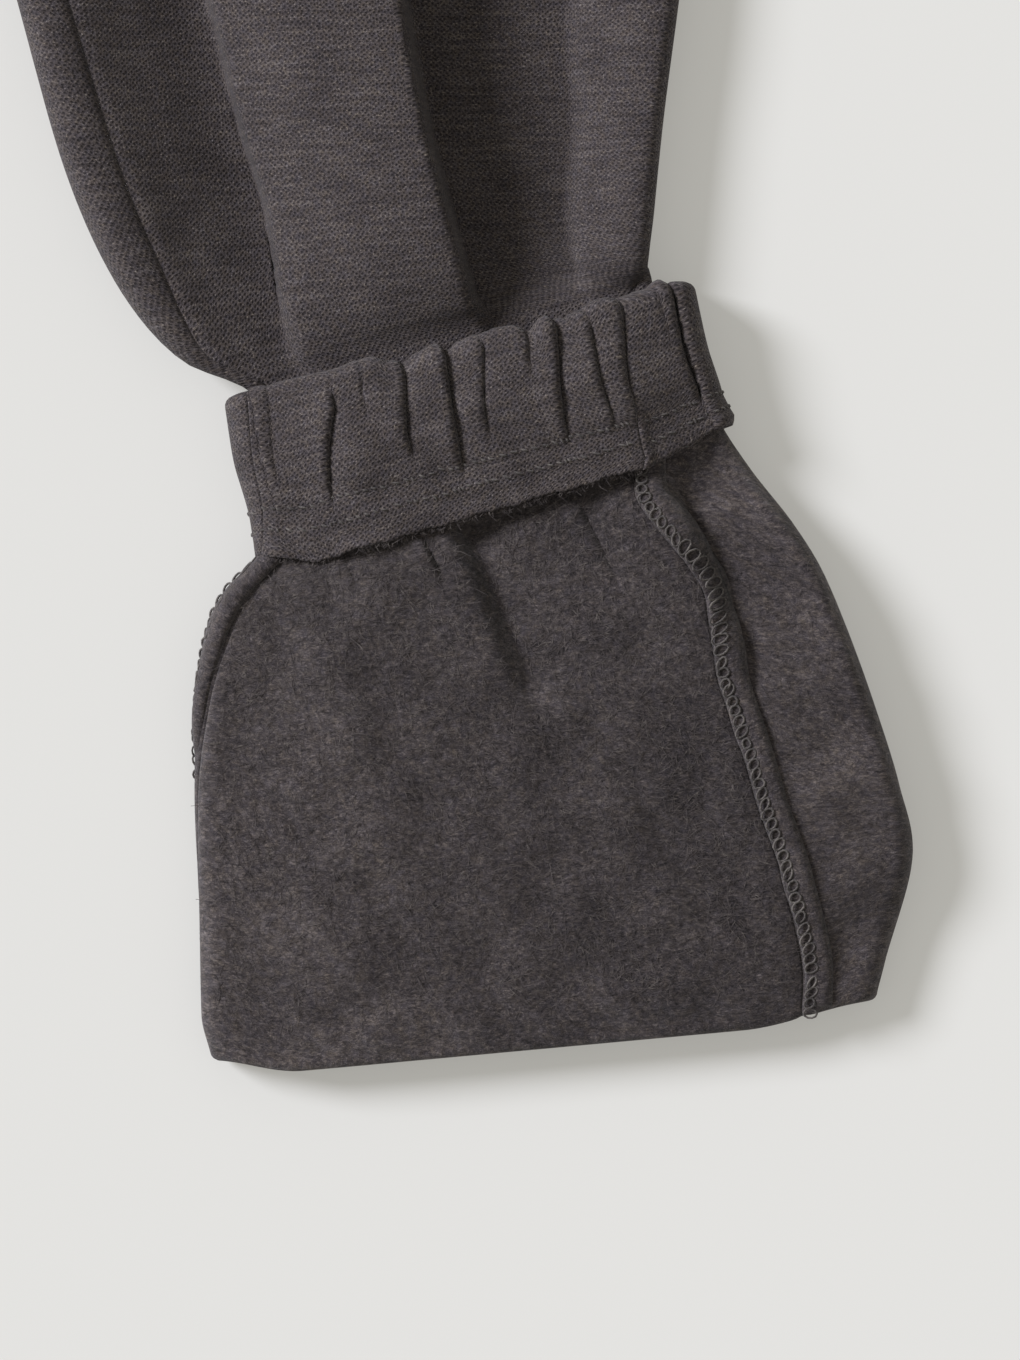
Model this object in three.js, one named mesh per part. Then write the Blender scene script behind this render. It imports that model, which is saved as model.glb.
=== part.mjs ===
// Jogger sweatpants laid flat, face up, the wearer's left leg with its hem turned up inside out.
// Millimetres. +X is the wearer's left, +Y runs to the waist, +Z is up from the surface.
// The sizes below count X from the centre line and Y from the crotch.
import * as THREE from 'three';

// Cloth and seams
const CLOTH = 2;
const SEAM_GAP = 0.34;
const FOLD_SEAM_GAP = 0.7;
const CENTRE_GAP = 0.16;
const LAYER = 2.4;
const HEM_CLOTH = 4.2;
const BAND_CLOTH = 3.2;

// Waistband
const WAIST_SEAM = 262;
const BAND_FOOT = WAIST_SEAM + 0.3;
const BAND_TOP = 302;
const WAIST_HALF = 171;

// How finely each cloth is cut into facets
const TURNED_STEPS = 21;
const PLAIN_STEPS = 14;
const UNDER_STEPS = 5;
const TURN_STEPS = 4;
const LEAST_STEP = 0.45;

// Body and thigh, alike on both sides. left and right are the ends of a line across the piece,
// base is the height of its underside, shoulder and roll size the rounded side folds, crown is the
// height of the middle, bow bends the line down the leg, split is 1 where front and back part at
// the centre line, and seams are counted inwards from the outline.
const COLUMNS = ['lx', 'ly', 'rx', 'ry', 'base', 'shoulderL', 'shoulderR', 'rollL', 'rollR',
  'crown', 'bow', 'inseam', 'outseam', 'split', 'gather', 'plies'];
const BODY = [
  [-3.8, 262, 172, 262, 0, 9, 9, 3, 3.4, 9.0, 0, 0, 0, 1, 1.0, 1],
  [-3.8, 248, 188, 248, 0, 9, 8.6, 3, 3.2, 9.0, 0, 0, 0, 1, 1.2, 1],
  [-3.6, 222, 211, 222, 0, 8, 8, 2.8, 3.0, 8.0, 0, 0, 0, 1, 0.9, 1],
  [-3.4, 165, 238, 165, 0, 6.6, 7, 2.6, 2.8, 6.6, 0, 0, 0, 1, 0.3, 1],
  [-3.4, 90, 259, 90, 0, 6, 6.8, 2.6, 2.6, 5.8, 0, 0, 0, 1, 0, 1],
  [-3.4, 8, 273, 8, 0, 6.2, 6.6, 2.6, 2.6, 5.6, 0, 1, 0, 1, 0, 1],
  [0.3, -4, 274, -4, 0, 6.6, 6.6, 2.6, 2.6, 5.6, 0, 1.5, 0, 0, 0, 1],
  [17, -60, 274, -60, 0, 6.8, 6.8, 2.8, 2.6, 5.6, 0, 4, 0, 0, 0, 1],
  [39, -130, 269, -130, 0, 7.2, 7, 3, 2.8, 5.6, 0, 6.5, 0, 0, 0, 1],
];

// Turned-up leg, from the thigh down to the cuff that it slips into
const LEG = [
  [62.5, -210, 260, -210, 0, 9, 8.6, 4.4, 4, 6.4, 0, 9, 0, 0, 0, 1],
  [79.5, -270, 252, -270, 0, 12, 11, 6, 5.4, 8, 0, 10, 0, 0, 0, 1],
  [93.4, -318.6, 246.1, -318.6, 0, 14, 13, 7, 6.4, 9, 0, 11, 0, 0, 0, 1],
  [102.6, -351.9, 242.4, -347.4, 0, 14.6, 13.6, 7, 6.4, 9, 0, 11.8, 0, 0, 0, 1],
  [107.6, -366, 241.3, -357.7, 0, 14.8, 14, 7, 6.4, 9.6, 0, 11.7, 0, 0, 0, 1],
  [113.6, -378.9, 240.3, -368.1, 0.8, 15, 14, 6.8, 6, 10, 0, 11.2, 0, 0, 0, 1],
  [122.4, -392.4, 239.4, -376.1, 2.8, 15, 14, 6, 5.6, 10.6, 0, 8.3, 0, 0, 0, 1],
  [132.7, -401.9, 239.2, -379.6, 4.8, 13.8, 13.4, 4.6, 5, 11, 0, 4.2, 0, 0, 0, 1],
  [141.2, -405.2, 239.4, -381.2, 5.6, 12.4, 12.4, 3.4, 4, 11, 0, 3, 1, 0, 0, 1],
  [147.4, -408.6, 239.8, -383.6, 6, 11.3, 11.3, 2.8, 3.2, 11, 0, 3, 3, 0, 0, 1],
];

// The same leg out of sight inside the turn-up, down to its fold
const LEG_INSIDE = [
  [149.9, -423, 243.6, -400, 6, 11.2, 11.2, 2.8, 3, 13.2, 0, 3, 8, 0, 0, 1],
  [154.6, -440, 250.6, -413, 5.4, 11, 11, 2.8, 3, 13.4, 0, 3, 14, 0, 0, 1],
  [155.4, -451.6, 255.8, -425.4, 3.9, 10.6, 10.6, 3.2, 3.4, 13.4, 0, 3, 17, 0, 0, 1],
  [150.2, -458.6, 267, -443.6, 2.8, 10, 10, 3.2, 3.4, 13.2, 0, 3, 22, 0, 0, 1],
  [142.6, -470, 279, -465, 2.6, 9.6, 9.6, 3.2, 3.2, 13.2, 0, 2, 24, 0, 0, 1],
  [138.6, -500.3, 292, -499.2, 2.6, 9.2, 9.2, 3, 3, 12.4, 1, 0.6, 28, 0, 0, 1],
  [138.9, -528, 294.8, -517, 2.5, 8.8, 8.8, 2.8, 2.8, 11.6, 2.6, 0, 26, 0, 0, 1],
  [139.4, -548, 292, -534.6, 2.5, 8.4, 8.4, 2.6, 2.6, 10.6, 3.8, 0, 19, 0, 0, 1],
];

// Turn-up from its fold to under the hem allowance, brushed side out
const TURN_UP = [
  [137.4, -560.8, 291.8, -546.6, 0, 10.6, 10.6, 5, 5, 11.8, 4, 0, 17, 0, 0, 1],
  [135.4, -552.5, 293.6, -539.6, 0, 11.4, 11.4, 5.4, 5.4, 13.6, 4, 0, 18.5, 0, 0, 1],
  [134.9, -527.6, 299.9, -514.1, 0, 12, 12, 5.6, 5.4, 15.6, 3, 0, 30, 0, 0, 1],
  [134.1, -500.3, 296.7, -499.1, 0, 12.4, 12.4, 5.6, 5.4, 16.8, 1, 0.6, 33, 0, 0, 1],
  [134.8, -479.6, 289.8, -477.3, 0, 13, 13, 5.6, 5.6, 17.8, 0, 2.6, 33.4, 0, 0.1, 1],
  [137.1, -465.3, 283.4, -460.1, 0, 13.6, 13.6, 5.6, 5.6, 18.6, 0, 4.6, 30, 0, 0.3, 1],
  [143.6, -455, 272.6, -439.6, 0.4, 14, 14, 5.4, 5.4, 19.2, 0, 6, 30, 0, 0.45, 1],
  [149.6, -452.4, 262.4, -426.4, 1.2, 13.6, 13.6, 4.6, 4.6, 18.8, 0, 6, 25, 0, 0.4, 1],
  [151.4, -445.6, 255.6, -415.8, 2.6, 13.6, 13.6, 3.8, 3.8, 18.1, 0, 5, 20, 0, 0.3, 1],
  [149.3, -435, 252.9, -408.2, 2.7, 13.8, 13.8, 3.8, 3.8, 18, 0, 5, 18, 0, 0.3, 1],
  [145.8, -424, 249.9, -398.6, 3.1, 14, 14, 3.8, 3.8, 18, 0, 5, 16, 0, 0.35, 1],
  [143.9, -412, 247.5, -386.8, 3.3, 13.9, 13.9, 3.7, 3.7, 17.8, 0, 5, 14, 0, 0.35, 1],
];

// Hem allowance outside the turn-up, face side out, from the casing's top fold to its raw edge
const ALLOWANCE = [
  [141.4, -412.7, 250, -386.2, 0, 17, 17, 6.2, 6.2, 22, 0, 7.4, 16.4, 0, 1, 1],
  [143.2, -424.4, 252.5, -397.9, 0, 17.2, 17.2, 6.2, 6.2, 22.8, 0, 7.4, 18.4, 0, 1, 1],
  [146.7, -435.4, 255.5, -407.4, 0, 16.6, 16.6, 6.2, 6.2, 21, 0, 7.4, 20.4, 0, 0.4, 1],
  [148.3, -446.5, 259.4, -415, 0, 16.4, 16.4, 6.2, 6.2, 21, 0, 7.4, 22.4, 0, 0.3, 1],
];

// Plain leg from the thigh to its hem, mirrored when it is built. Its casing is two cloths thick.
const PLAIN_LEG = [
  [62.5, -210, 264, -210, 0, 7.4, 7.2, 3.2, 3, 5.6, 0, 7, 0, 0, 0, 1],
  [84.5, -325, 263.5, -315, 0, 7.6, 7.4, 3.2, 3.2, 5.8, 0, 7, 0, 0, 0, 1],
  [102, -440, 269, -420, 0, 8, 7.8, 3.4, 3.4, 6.2, 0, 7, 0, 0, 0, 1],
  [118, -549, 277, -531, 0, 9, 8.6, 4, 4, 8, 0, 7, 0, 0, 0.1, 1],
  [129, -614, 283.4, -596, 0, 10.6, 10.4, 4.8, 4.8, 10.6, 0, 6, 0, 0, 0.5, 1],
  [135, -651.1, 286, -633.9, 0, 12.6, 12.4, 5.6, 5.6, 13.4, 0, 5, 0, 0, 1, 1],
  [143.3, -680.3, 284.3, -664.3, 0, 14, 14, 6, 6, 16, 0, 4, 0, 0, 1.2, 1],
  [158.4, -697.8, 273.6, -684.6, 0, 14.6, 14.6, 6, 6, 16.2, 0, 4, 0, 0, 0.9, 2],
  [162.9, -715.3, 273.1, -702.7, 0, 14.8, 14.8, 6, 6, 16.6, 0, 4, 0, 0, 1.1, 2],
  [163.4, -728.4, 275.6, -715.6, 0, 14.4, 14.4, 6, 6, 15.6, 0, 4, 0, 0, 0.7, 2],
];

// Two soft pleats that the cuff squeezes into the turned-up leg. Each place is counted from the
// outline, along the line across the leg, at the height y of that line's middle.
const PLEAT_COLUMNS = ['y', 'valley', 'crest', 'edge', 'foot', 'flat', 'strip', 'low', 'high', 'side'];
const PLEATS = [
  [-60, 68, 90, 168, 184, 236, 246, 5.6, 5.6, 5.6],
  [-130, 62, 80, 142, 154, 206, 216, 5.6, 6.4, 6.2],
  [-210, 56, 70, 117, 126, 175, 184, 6, 9.6, 8],
  [-270, 49, 60, 99, 106, 152, 160, 7, 13.4, 11.4],
  [-318.6, 43.5, 54, 87.9, 93, 137, 143, 8, 16.8, 14.2],
  [-349.6, 43, 52, 84, 89, 124, 130, 8.5, 18.4, 15],
  [-361.9, 42, 51, 81.9, 87, 118, 124, 9, 18.8, 15.2],
  [-373.5, 38.8, 47, 79, 84, 111, 117, 9.2, 19, 15.4],
  [-384.2, 32, 40, 73.4, 78, 101, 107, 9.8, 18.8, 15.2],
  [-390.8, 23, 31, 65.4, 70, 91, 97, 10.2, 17, 14.2],
  [-393.3, 15, 23, 58, 62, 83, 88, 10.6, 15.4, 12.8],
  [-396.1, 11, 18, 54, 58, 78, 83, 10.8, 14.2, 11.6],
  [-411.5, 12, 20, 54, 58, 76, 82, 10.9, 13.4, 11.4],
  [-426.5, 16, 28, 50, 58, 72, 80, 12.8, 13.4, 12.4],
];

// Gathers pressed into the elastic casing of the turned-up hem: place across it, depth and width
const GATHER_COLUMNS = ['at', 'depth', 'width'];
const GATHERS = [
  [0.085, 1.6, 0.028],
  [0.235, 2.8, 0.026],
  [0.375, 2.0, 0.024],
  [0.465, 2.9, 0.026],
  [0.545, 1.3, 0.024],
  [0.69, 2.7, 0.028],
  [0.775, 2.0, 0.022],
  [0.845, 1.2, 0.022],
  [0.93, 2.0, 0.026],
];

// Soft troughs in the turn-up: from one end to the other in X and Y, depth and width
const TROUGH_COLUMNS = ['x1', 'y1', 'x2', 'y2', 'depth', 'width'];
const TROUGHS = [
  [187, -440, 212, -476, 2.4, 8],
  [243, -425, 262, -474, 2.6, 5],
  [166, -446, 172, -470, 1.2, 6],
];

const WAIST_GATHERS = 7;
const HEM_GATHERS = 5;

const FACE_CLOTH = new THREE.MeshStandardMaterial({
  name: 'heather knit', color: new THREE.Color(0.29, 0.275, 0.275), roughness: 0.95, metalness: 0,
});

// Turns a row of numbers into an object with named columns
const named = (columns, row) => Object.fromEntries(columns.map((name, i) => [name, row[i]]));

// Smooth curve through points, never past them. flatEnds gives it level ends.
function smoothCurve(xs, ys, flatEnds = false) {
  const last = xs.length - 1;
  const rise = xs.slice(1).map((x, i) => (ys[i + 1] - ys[i]) / (x - xs[i]));
  const slopes = xs.map((_, i) => {
    if (i === 0) return flatEnds ? 0 : rise[0];
    if (i === last) return flatEnds ? 0 : rise[last - 1];
    if (rise[i - 1] * rise[i] <= 0) return 0;
    return (2 * rise[i - 1] * rise[i]) / (rise[i - 1] + rise[i]);
  });
  return (x) => {
    const at = Math.min(Math.max(x, xs[0]), xs[last]);
    let i = 0;
    while (i < last - 1 && at > xs[i + 1]) i += 1;
    const span = xs[i + 1] - xs[i];
    const t = (at - xs[i]) / span;
    const keep = (1 + 2 * t) * (1 - t) * (1 - t);
    const turn = t * t * (3 - 2 * t);
    const leave = t * (1 - t) * (1 - t) * span;
    const arrive = -t * t * (1 - t) * span;
    return keep * ys[i] + turn * ys[i + 1] + leave * slopes[i] + arrive * slopes[i + 1];
  };
}

// A stretch of a leg: every column of its table as a smooth curve of the distance along it
function stretchOf(rows) {
  const sections = rows.map((row) => named(COLUMNS, row));
  const places = [0];
  for (let i = 1; i < sections.length; i += 1) {
    const a = sections[i - 1];
    const b = sections[i];
    const dx = (b.lx + b.rx - a.lx - a.rx) / 2;
    const dy = (b.ly + b.ry - a.ly - a.ry) / 2;
    places.push(places[i - 1] + Math.hypot(dx, dy));
  }
  const curves = COLUMNS.map((name) => smoothCurve(places, sections.map((s) => s[name])));
  const sectionAt = (s) => Object.fromEntries(COLUMNS.map((name, i) => [name, curves[i](s)]));
  return { places, sectionAt, end: places.at(-1) };
}

const pleatCurves = Object.fromEntries(PLEAT_COLUMNS.map((name, i) => (
  [name, smoothCurve(PLEATS.map((row) => -row[0]), PLEATS.map((row) => row[i]))]
)));

// Lengths round a section: the side folds are quarter ellipses, the top and the underside run
// between them
function girth(section) {
  const width = Math.hypot(section.rx - section.lx, section.ry - section.ly) - CLOTH;
  const half = (shoulder) => (shoulder - section.base - CLOTH) / 2;
  const quarter = (roll, shoulder) => (Math.PI / 2) * Math.sqrt((roll ** 2 + half(shoulder) ** 2) / 2);
  const left = quarter(section.rollL, section.shoulderL);
  const right = quarter(section.rollR, section.shoulderR);
  const top = width - section.rollL - section.rollR;
  return { width, left, right, top, parts: [left, top, right, right, top, left] };
}

// Round the section, 0 is the left edge, 1 and 2 the ends of the top, 3 the right edge, 4 and 5 the
// ends of the underside and 6 the left edge again
function toDistance(section, h) {
  const { parts } = girth(section);
  const whole = Math.floor(h);
  let sum = 0;
  for (let i = 0; i < whole; i += 1) sum += parts[i % 6];
  return sum + (h - whole) * parts[whole % 6];
}

function fromDistance(section, distance) {
  const { parts } = girth(section);
  let rest = distance;
  let i = 0;
  while (rest > parts[i % 6] && i < 11) {
    rest -= parts[i % 6];
    i += 1;
  }
  return i + rest / parts[i % 6];
}

const steps = (count) => Array.from({ length: count + 1 }, (_, i) => i / count);
const ease = (t) => { const u = Math.min(Math.max(t, 0), 1); return u * u * (3 - 2 * u); };

// Height of the top of a piece above its shoulders, across its width
function plainTop(section, e) {
  const side = section.shoulderL + (section.shoulderR - section.shoulderL) * e;
  return side + (section.crown - side) * ease(e / 0.22) * ease((1 - e) / 0.22);
}

function pleatedTop(section, e) {
  const { width, top } = girth(section);
  const y = -(section.ly + section.ry) / 2;
  const at = (name) => (pleatCurves[name](y) - CLOTH / 2 - section.rollL) / top;
  const low = pleatCurves.low(y);
  const high = pleatCurves.high(y);
  const xs = [0, at('valley'), at('crest'), at('edge'), at('foot'), at('flat'), at('strip'), 1];
  const zs = [section.shoulderL, low, high - 0.6, high, low, low, pleatCurves.side(y), section.shoulderR];
  if (width < 1 || xs[1] < 0.02) xs[1] = 0.02;
  return smoothCurve(xs, zs, true)(e);
}

function gatheredTop(section, e) {
  let z = plainTop(section, e);
  for (const row of GATHERS) {
    const fold = named(GATHER_COLUMNS, row);
    z -= section.gather * fold.depth * Math.exp(-(((e - fold.at) / fold.width) ** 2));
  }
  return z;
}

function troughs(x, y) {
  let depth = 0;
  for (const row of TROUGHS) {
    const t = named(TROUGH_COLUMNS, row);
    const dx = t.x2 - t.x1;
    const dy = t.y2 - t.y1;
    const along = ((x - t.x1) * dx + (y - t.y1) * dy) / (dx * dx + dy * dy);
    const off = ((x - t.x1) * dy - (y - t.y1) * dx) / Math.hypot(dx, dy);
    const fade = ease((along + 0.15) / 0.3) * ease((1.2 - along) / 0.7);
    depth += t.depth * fade * Math.exp(-((off / t.width) ** 2));
  }
  return depth;
}

// Even gathers under the waistband and above the plain hem, fading towards the sides
function evenGathers(count) {
  return (section, e) => {
    const fade = ease(e / 0.08) * ease((1 - e) / 0.08);
    return plainTop(section, e) + section.gather * 1.2 * fade * Math.sin(2 * Math.PI * count * e);
  };
}

// A point of the cloth's middle layer, h round the section
function pointOn(section, h, topOf) {
  const { width, top } = girth(section);
  const part = ((Math.floor(h) % 6) + 6) % 6;
  const t = h - Math.floor(h);
  const { rollL, rollR } = section;
  const floor = section.base + CLOTH / 2;
  const middleL = (section.shoulderL + section.base) / 2;
  const middleR = (section.shoulderR + section.base) / 2;
  const angle = (t * Math.PI) / 2;
  let across = 0;
  let z = floor;
  if (part === 0) {
    across = rollL * (1 - Math.cos(angle));
    z = middleL + (middleL - floor) * Math.sin(angle);
  } else if (part === 1) {
    across = rollL + top * t;
    z = topOf(section, t) - CLOTH / 2;
  } else if (part === 2) {
    across = width - rollR * (1 - Math.sin(angle));
    z = middleR + (middleR - floor) * Math.cos(angle);
  } else if (part === 3) {
    across = width - rollR * (1 - Math.cos(angle));
    z = middleR - (middleR - floor) * Math.sin(angle);
  } else if (part === 4) {
    across = width - rollR - top * t;
  } else {
    across = rollL * (1 - Math.sin(angle));
    z = middleL - (middleL - floor) * Math.cos(angle);
  }
  const length = width + CLOTH;
  const ux = (section.rx - section.lx) / length;
  const uy = (section.ry - section.ly) / length;
  const c = across + CLOTH / 2;
  const e = c / length;
  const bend = section.bow * ease(e / 0.16) * ease((1 - e) / 0.5);
  return new THREE.Vector3(section.lx + ux * c + uy * bend, section.ly + uy * c - ux * bend, z);
}

// Where the inseam and the outseam run round a section
function seamPlaces(section) {
  const { left, right, top } = girth(section);
  const onRoll = (inset, roll) => (Math.acos(1 - Math.min(Math.max(inset, 0), roll) / roll) * 2) / Math.PI;
  const inset = (seam, roll, quarter) => (
    seam > roll ? quarter + seam - roll : quarter * onRoll(seam, roll)
  );
  const all = 2 * (left + top + right);
  const inner = inset(section.inseam, section.rollL, left);
  const outer = left + top + right - inset(section.outseam, section.rollR, right);
  const { split } = section;
  return {
    frontStart: inner + (left - inner) * split,
    outer,
    backEnd: all + inner + (-left - inner) * split,
  };
}

// Columns of a panel round its section: even steps on the flats and fixed stops on the side folds,
// kept a least step apart where a seam crosses a fold
function columnsOf(section, side, topSteps, seamGap = SEAM_GAP) {
  const seam = seamPlaces(section);
  const gap = seamGap / 2;
  const front = side === 'front';
  const start = front ? seam.frontStart + gap * (1 - section.split) : seam.outer + gap;
  const end = front ? seam.outer - gap : seam.backEnd - gap * (1 - section.split);
  const topStops = steps(topSteps).map((t) => 1 + t);
  const stops = front
    ? [0, 0.4, 0.7, ...topStops, 2.3, 2.6, 3]
    : [1.7, 1.85, 2, 2.3, 2.6, 3, 3.4, 3.7, ...steps(UNDER_STEPS).map((t) => 4 + t),
      5.3, 5.6, 6, 6.4, 6.7, 7, 7.1];
  const count = stops.length - 1;
  const least = Math.min(LEAST_STEP, (end - start) / (count + 1));
  return stops.map((stop, i) => {
    const low = start + i * least;
    const high = end - (count - i) * least;
    const at = i === 0 ? start : i === count ? end : toDistance(section, stop);
    return fromDistance(section, Math.min(Math.max(at, low), high));
  });
}

// A run of stations from one place to another along a stretch of cloth
function run(stretch, topOf, places, topSteps) {
  return {
    places,
    point: (s, h) => pointOn(stretch.sectionAt(s), h, topOf),
    columns: (s, side, seamGap) => columnsOf(stretch.sectionAt(s), side, topSteps, seamGap),
    cloth: (s) => CLOTH + (HEM_CLOTH - CLOTH) * (stretch.sectionAt(s).plies - 1),
    end: stretch.end,
  };
}

// The turn where the cloth doubles back over itself: a half circle between the last points of
// one run and the first of the next. forward is 1 where it bulges down the leg.
function turn(before, after, forward) {
  const direction = (h) => {
    const a = after.point(0, 1.2);
    const b = after.point(0, 1.8);
    return new THREE.Vector3(b.y - a.y, a.x - b.x, 0).normalize().multiplyScalar(forward);
  };
  return {
    places: steps(TURN_STEPS).map((t) => t * Math.PI).slice(1, -1),
    point: (angle, h) => {
      const a = before.point(before.end, h);
      const b = after.point(0, h);
      const reach = a.distanceTo(b) / 2;
      return a.lerp(b, (1 - Math.cos(angle)) / 2)
        .addScaledVector(direction(h), reach * Math.sin(angle));
    },
    columns: (angle, side) => after.columns(0, side, FOLD_SEAM_GAP),
    cloth: () => CLOTH,
    end: Math.PI,
  };
}

// A panel as one closed wall: its middle layer is offset to both sides and closed at the edges
function wall(runs, side, mirrored) {
  const outer = [];
  const inner = [];
  for (const part of runs) {
    for (const s of part.places) {
      const hs = part.columns(s, side);
      const rowOut = [];
      const rowIn = [];
      for (const h of hs) {
        const ds = Math.min(0.05, part.end / 50);
        const s1 = Math.max(s - ds, 0);
        const s2 = Math.min(s + ds, part.end);
        const p = part.point(s, h);
        const along = part.point(s2, h).sub(part.point(s1, h));
        const across = part.point(s, h + 0.002).sub(part.point(s, h - 0.002));
        const normal = along.cross(across).normalize();
        const thick = part.cloth(s);
        rowOut.push(p.clone().addScaledVector(normal, CLOTH / 2));
        rowIn.push(p.clone().addScaledVector(normal, CLOTH / 2 - thick));
      }
      outer.push(rowOut);
      inner.push(rowIn);
    }
  }
  for (const p of [...outer, ...inner].flat()) {
    p.x = Math.max(p.x, CENTRE_GAP);
    p.y = Math.min(p.y, WAIST_SEAM);
    p.z = Math.max(p.z, 0);
  }
  return closedWall(outer, inner, mirrored, false);
}

// Triangles of a wall from its outer and inner points. ring joins the last column to the first.
function closedWall(outer, inner, mirrored, ring) {
  const rows = outer.length;
  const columns = outer[0].length;
  const points = [...outer, ...inner].flat();
  const index = (layer, i, j) => (layer * rows + i) * columns + (j % columns);
  const triangles = [];
  const quad = (a, b, c, d) => {
    if (points[a].distanceTo(points[c]) <= points[b].distanceTo(points[d])) {
      triangles.push([a, b, c], [a, c, d]);
    } else {
      triangles.push([a, b, d], [b, c, d]);
    }
  };
  const lastColumn = ring ? columns : columns - 1;
  for (let i = 0; i < rows - 1; i += 1) {
    for (let j = 0; j < lastColumn; j += 1) {
      quad(index(0, i, j), index(0, i + 1, j), index(0, i + 1, j + 1), index(0, i, j + 1));
      quad(index(1, i, j), index(1, i, j + 1), index(1, i + 1, j + 1), index(1, i + 1, j));
    }
    if (!ring) {
      quad(index(0, i, 0), index(1, i, 0), index(1, i + 1, 0), index(0, i + 1, 0));
      const j = columns - 1;
      quad(index(0, i, j), index(0, i + 1, j), index(1, i + 1, j), index(1, i, j));
    }
  }
  for (let j = 0; j < lastColumn; j += 1) {
    quad(index(0, 0, j), index(0, 0, j + 1), index(1, 0, j + 1), index(1, 0, j));
    const i = rows - 1;
    quad(index(0, i, j), index(1, i, j), index(1, i, j + 1), index(0, i, j + 1));
  }
  const flip = mirrored ? -1 : 1;
  const geometry = new THREE.BufferGeometry();
  const positions = points.flatMap((p) => [flip * p.x, p.y, p.z]);
  geometry.setAttribute('position', new THREE.Float32BufferAttribute(positions, 3));
  geometry.setIndex(triangles.flatMap(([a, b, c]) => (mirrored ? [a, c, b] : [a, b, c])));
  geometry.computeVertexNormals();
  return geometry;
}

// Stations at every row of a table, with more in its long spans
function stationsOf(stretch, longest) {
  const places = [];
  for (let i = 0; i < stretch.places.length - 1; i += 1) {
    const span = stretch.places[i + 1] - stretch.places[i];
    const parts = Math.max(1, Math.ceil(span / longest));
    for (let k = 0; k < parts; k += 1) places.push(stretch.places[i] + (span * k) / parts);
  }
  places.push(stretch.end);
  return places;
}

// The fold's inner section: the turn-up's first section, one layer further in
function insideOf(row) {
  const s = named(COLUMNS, row);
  const length = Math.hypot(s.rx - s.lx, s.ry - s.ly);
  const ux = ((s.rx - s.lx) / length) * LAYER;
  const uy = ((s.ry - s.ly) / length) * LAYER;
  const moved = {
    ...s,
    lx: s.lx + ux,
    ly: s.ly + uy,
    rx: s.rx - ux,
    ry: s.ry - uy,
    base: s.base + LAYER,
    shoulderL: s.shoulderL - LAYER,
    shoulderR: s.shoulderR - LAYER,
    rollL: s.rollL - LAYER,
    rollR: s.rollR - LAYER,
    crown: s.crown - LAYER,
    inseam: s.inseam - LAYER,
    outseam: s.outseam - LAYER,
  };
  return COLUMNS.map((name) => moved[name]);
}

// Top of the whole turned-up leg: waist gathers, then pleats, then the plain form inside the cuff
function legTop(section, e) {
  const y = (section.ly + section.ry) / 2;
  if (y > -60) return evenGathers(WAIST_GATHERS)(section, e);
  if (y > -426) return pleatedTop(section, e);
  return plainTop(section, e);
}

function turnUpTop(section, e) {
  const x = section.lx + (section.rx - section.lx) * e;
  const y = section.ly + (section.ry - section.ly) * e;
  return gatheredTop(section, e) - troughs(x, y) * (section.base < 2 ? 1 : 0.4);
}

function plainLegTop(section, e) {
  const y = (section.ly + section.ry) / 2;
  return evenGathers(y > -60 ? WAIST_GATHERS : HEM_GATHERS)(section, e);
}

const leftLeg = stretchOf([...BODY, ...LEG, ...LEG_INSIDE, insideOf(TURN_UP[0])]);
const turnUp = stretchOf(TURN_UP);
const allowance = stretchOf(ALLOWANCE);
const rightLeg = stretchOf([...BODY, ...PLAIN_LEG]);

const legRun = run(leftLeg, legTop, stationsOf(leftLeg, 80), TURNED_STEPS);
const turnUpRun = run(turnUp, turnUpTop, stationsOf(turnUp, 20), TURNED_STEPS);
const allowanceRun = run(allowance, gatheredTop, stationsOf(allowance, 12), TURNED_STEPS);
const plainRun = run(rightLeg, plainLegTop, stationsOf(rightLeg, 80), PLAIN_STEPS);
const bottomFold = turn(legRun, turnUpRun, 1);
const hemFold = turn(turnUpRun, allowanceRun, -1);
const leftRuns = [legRun, bottomFold, turnUpRun, hemFold, allowanceRun];

// Waistband: a flat ring of doubled cloth round the elastic, gathered on its outside
const BAND_COLUMNS = ['y', 'half', 'height', 'wave'];
const BAND = [
  [BAND_FOOT, WAIST_HALF, 9.2, 0.5],
  [BAND_FOOT + 8, WAIST_HALF - 1, 10, 0.9],
  [BAND_TOP - 10, WAIST_HALF - 2, 10, 0.9],
  [BAND_TOP, WAIST_HALF - 2, 9.2, 0.5],
];
const BAND_ROLL = 4;
const BAND_WAVES = 14;
const BAND_STEPS = 56;

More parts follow.
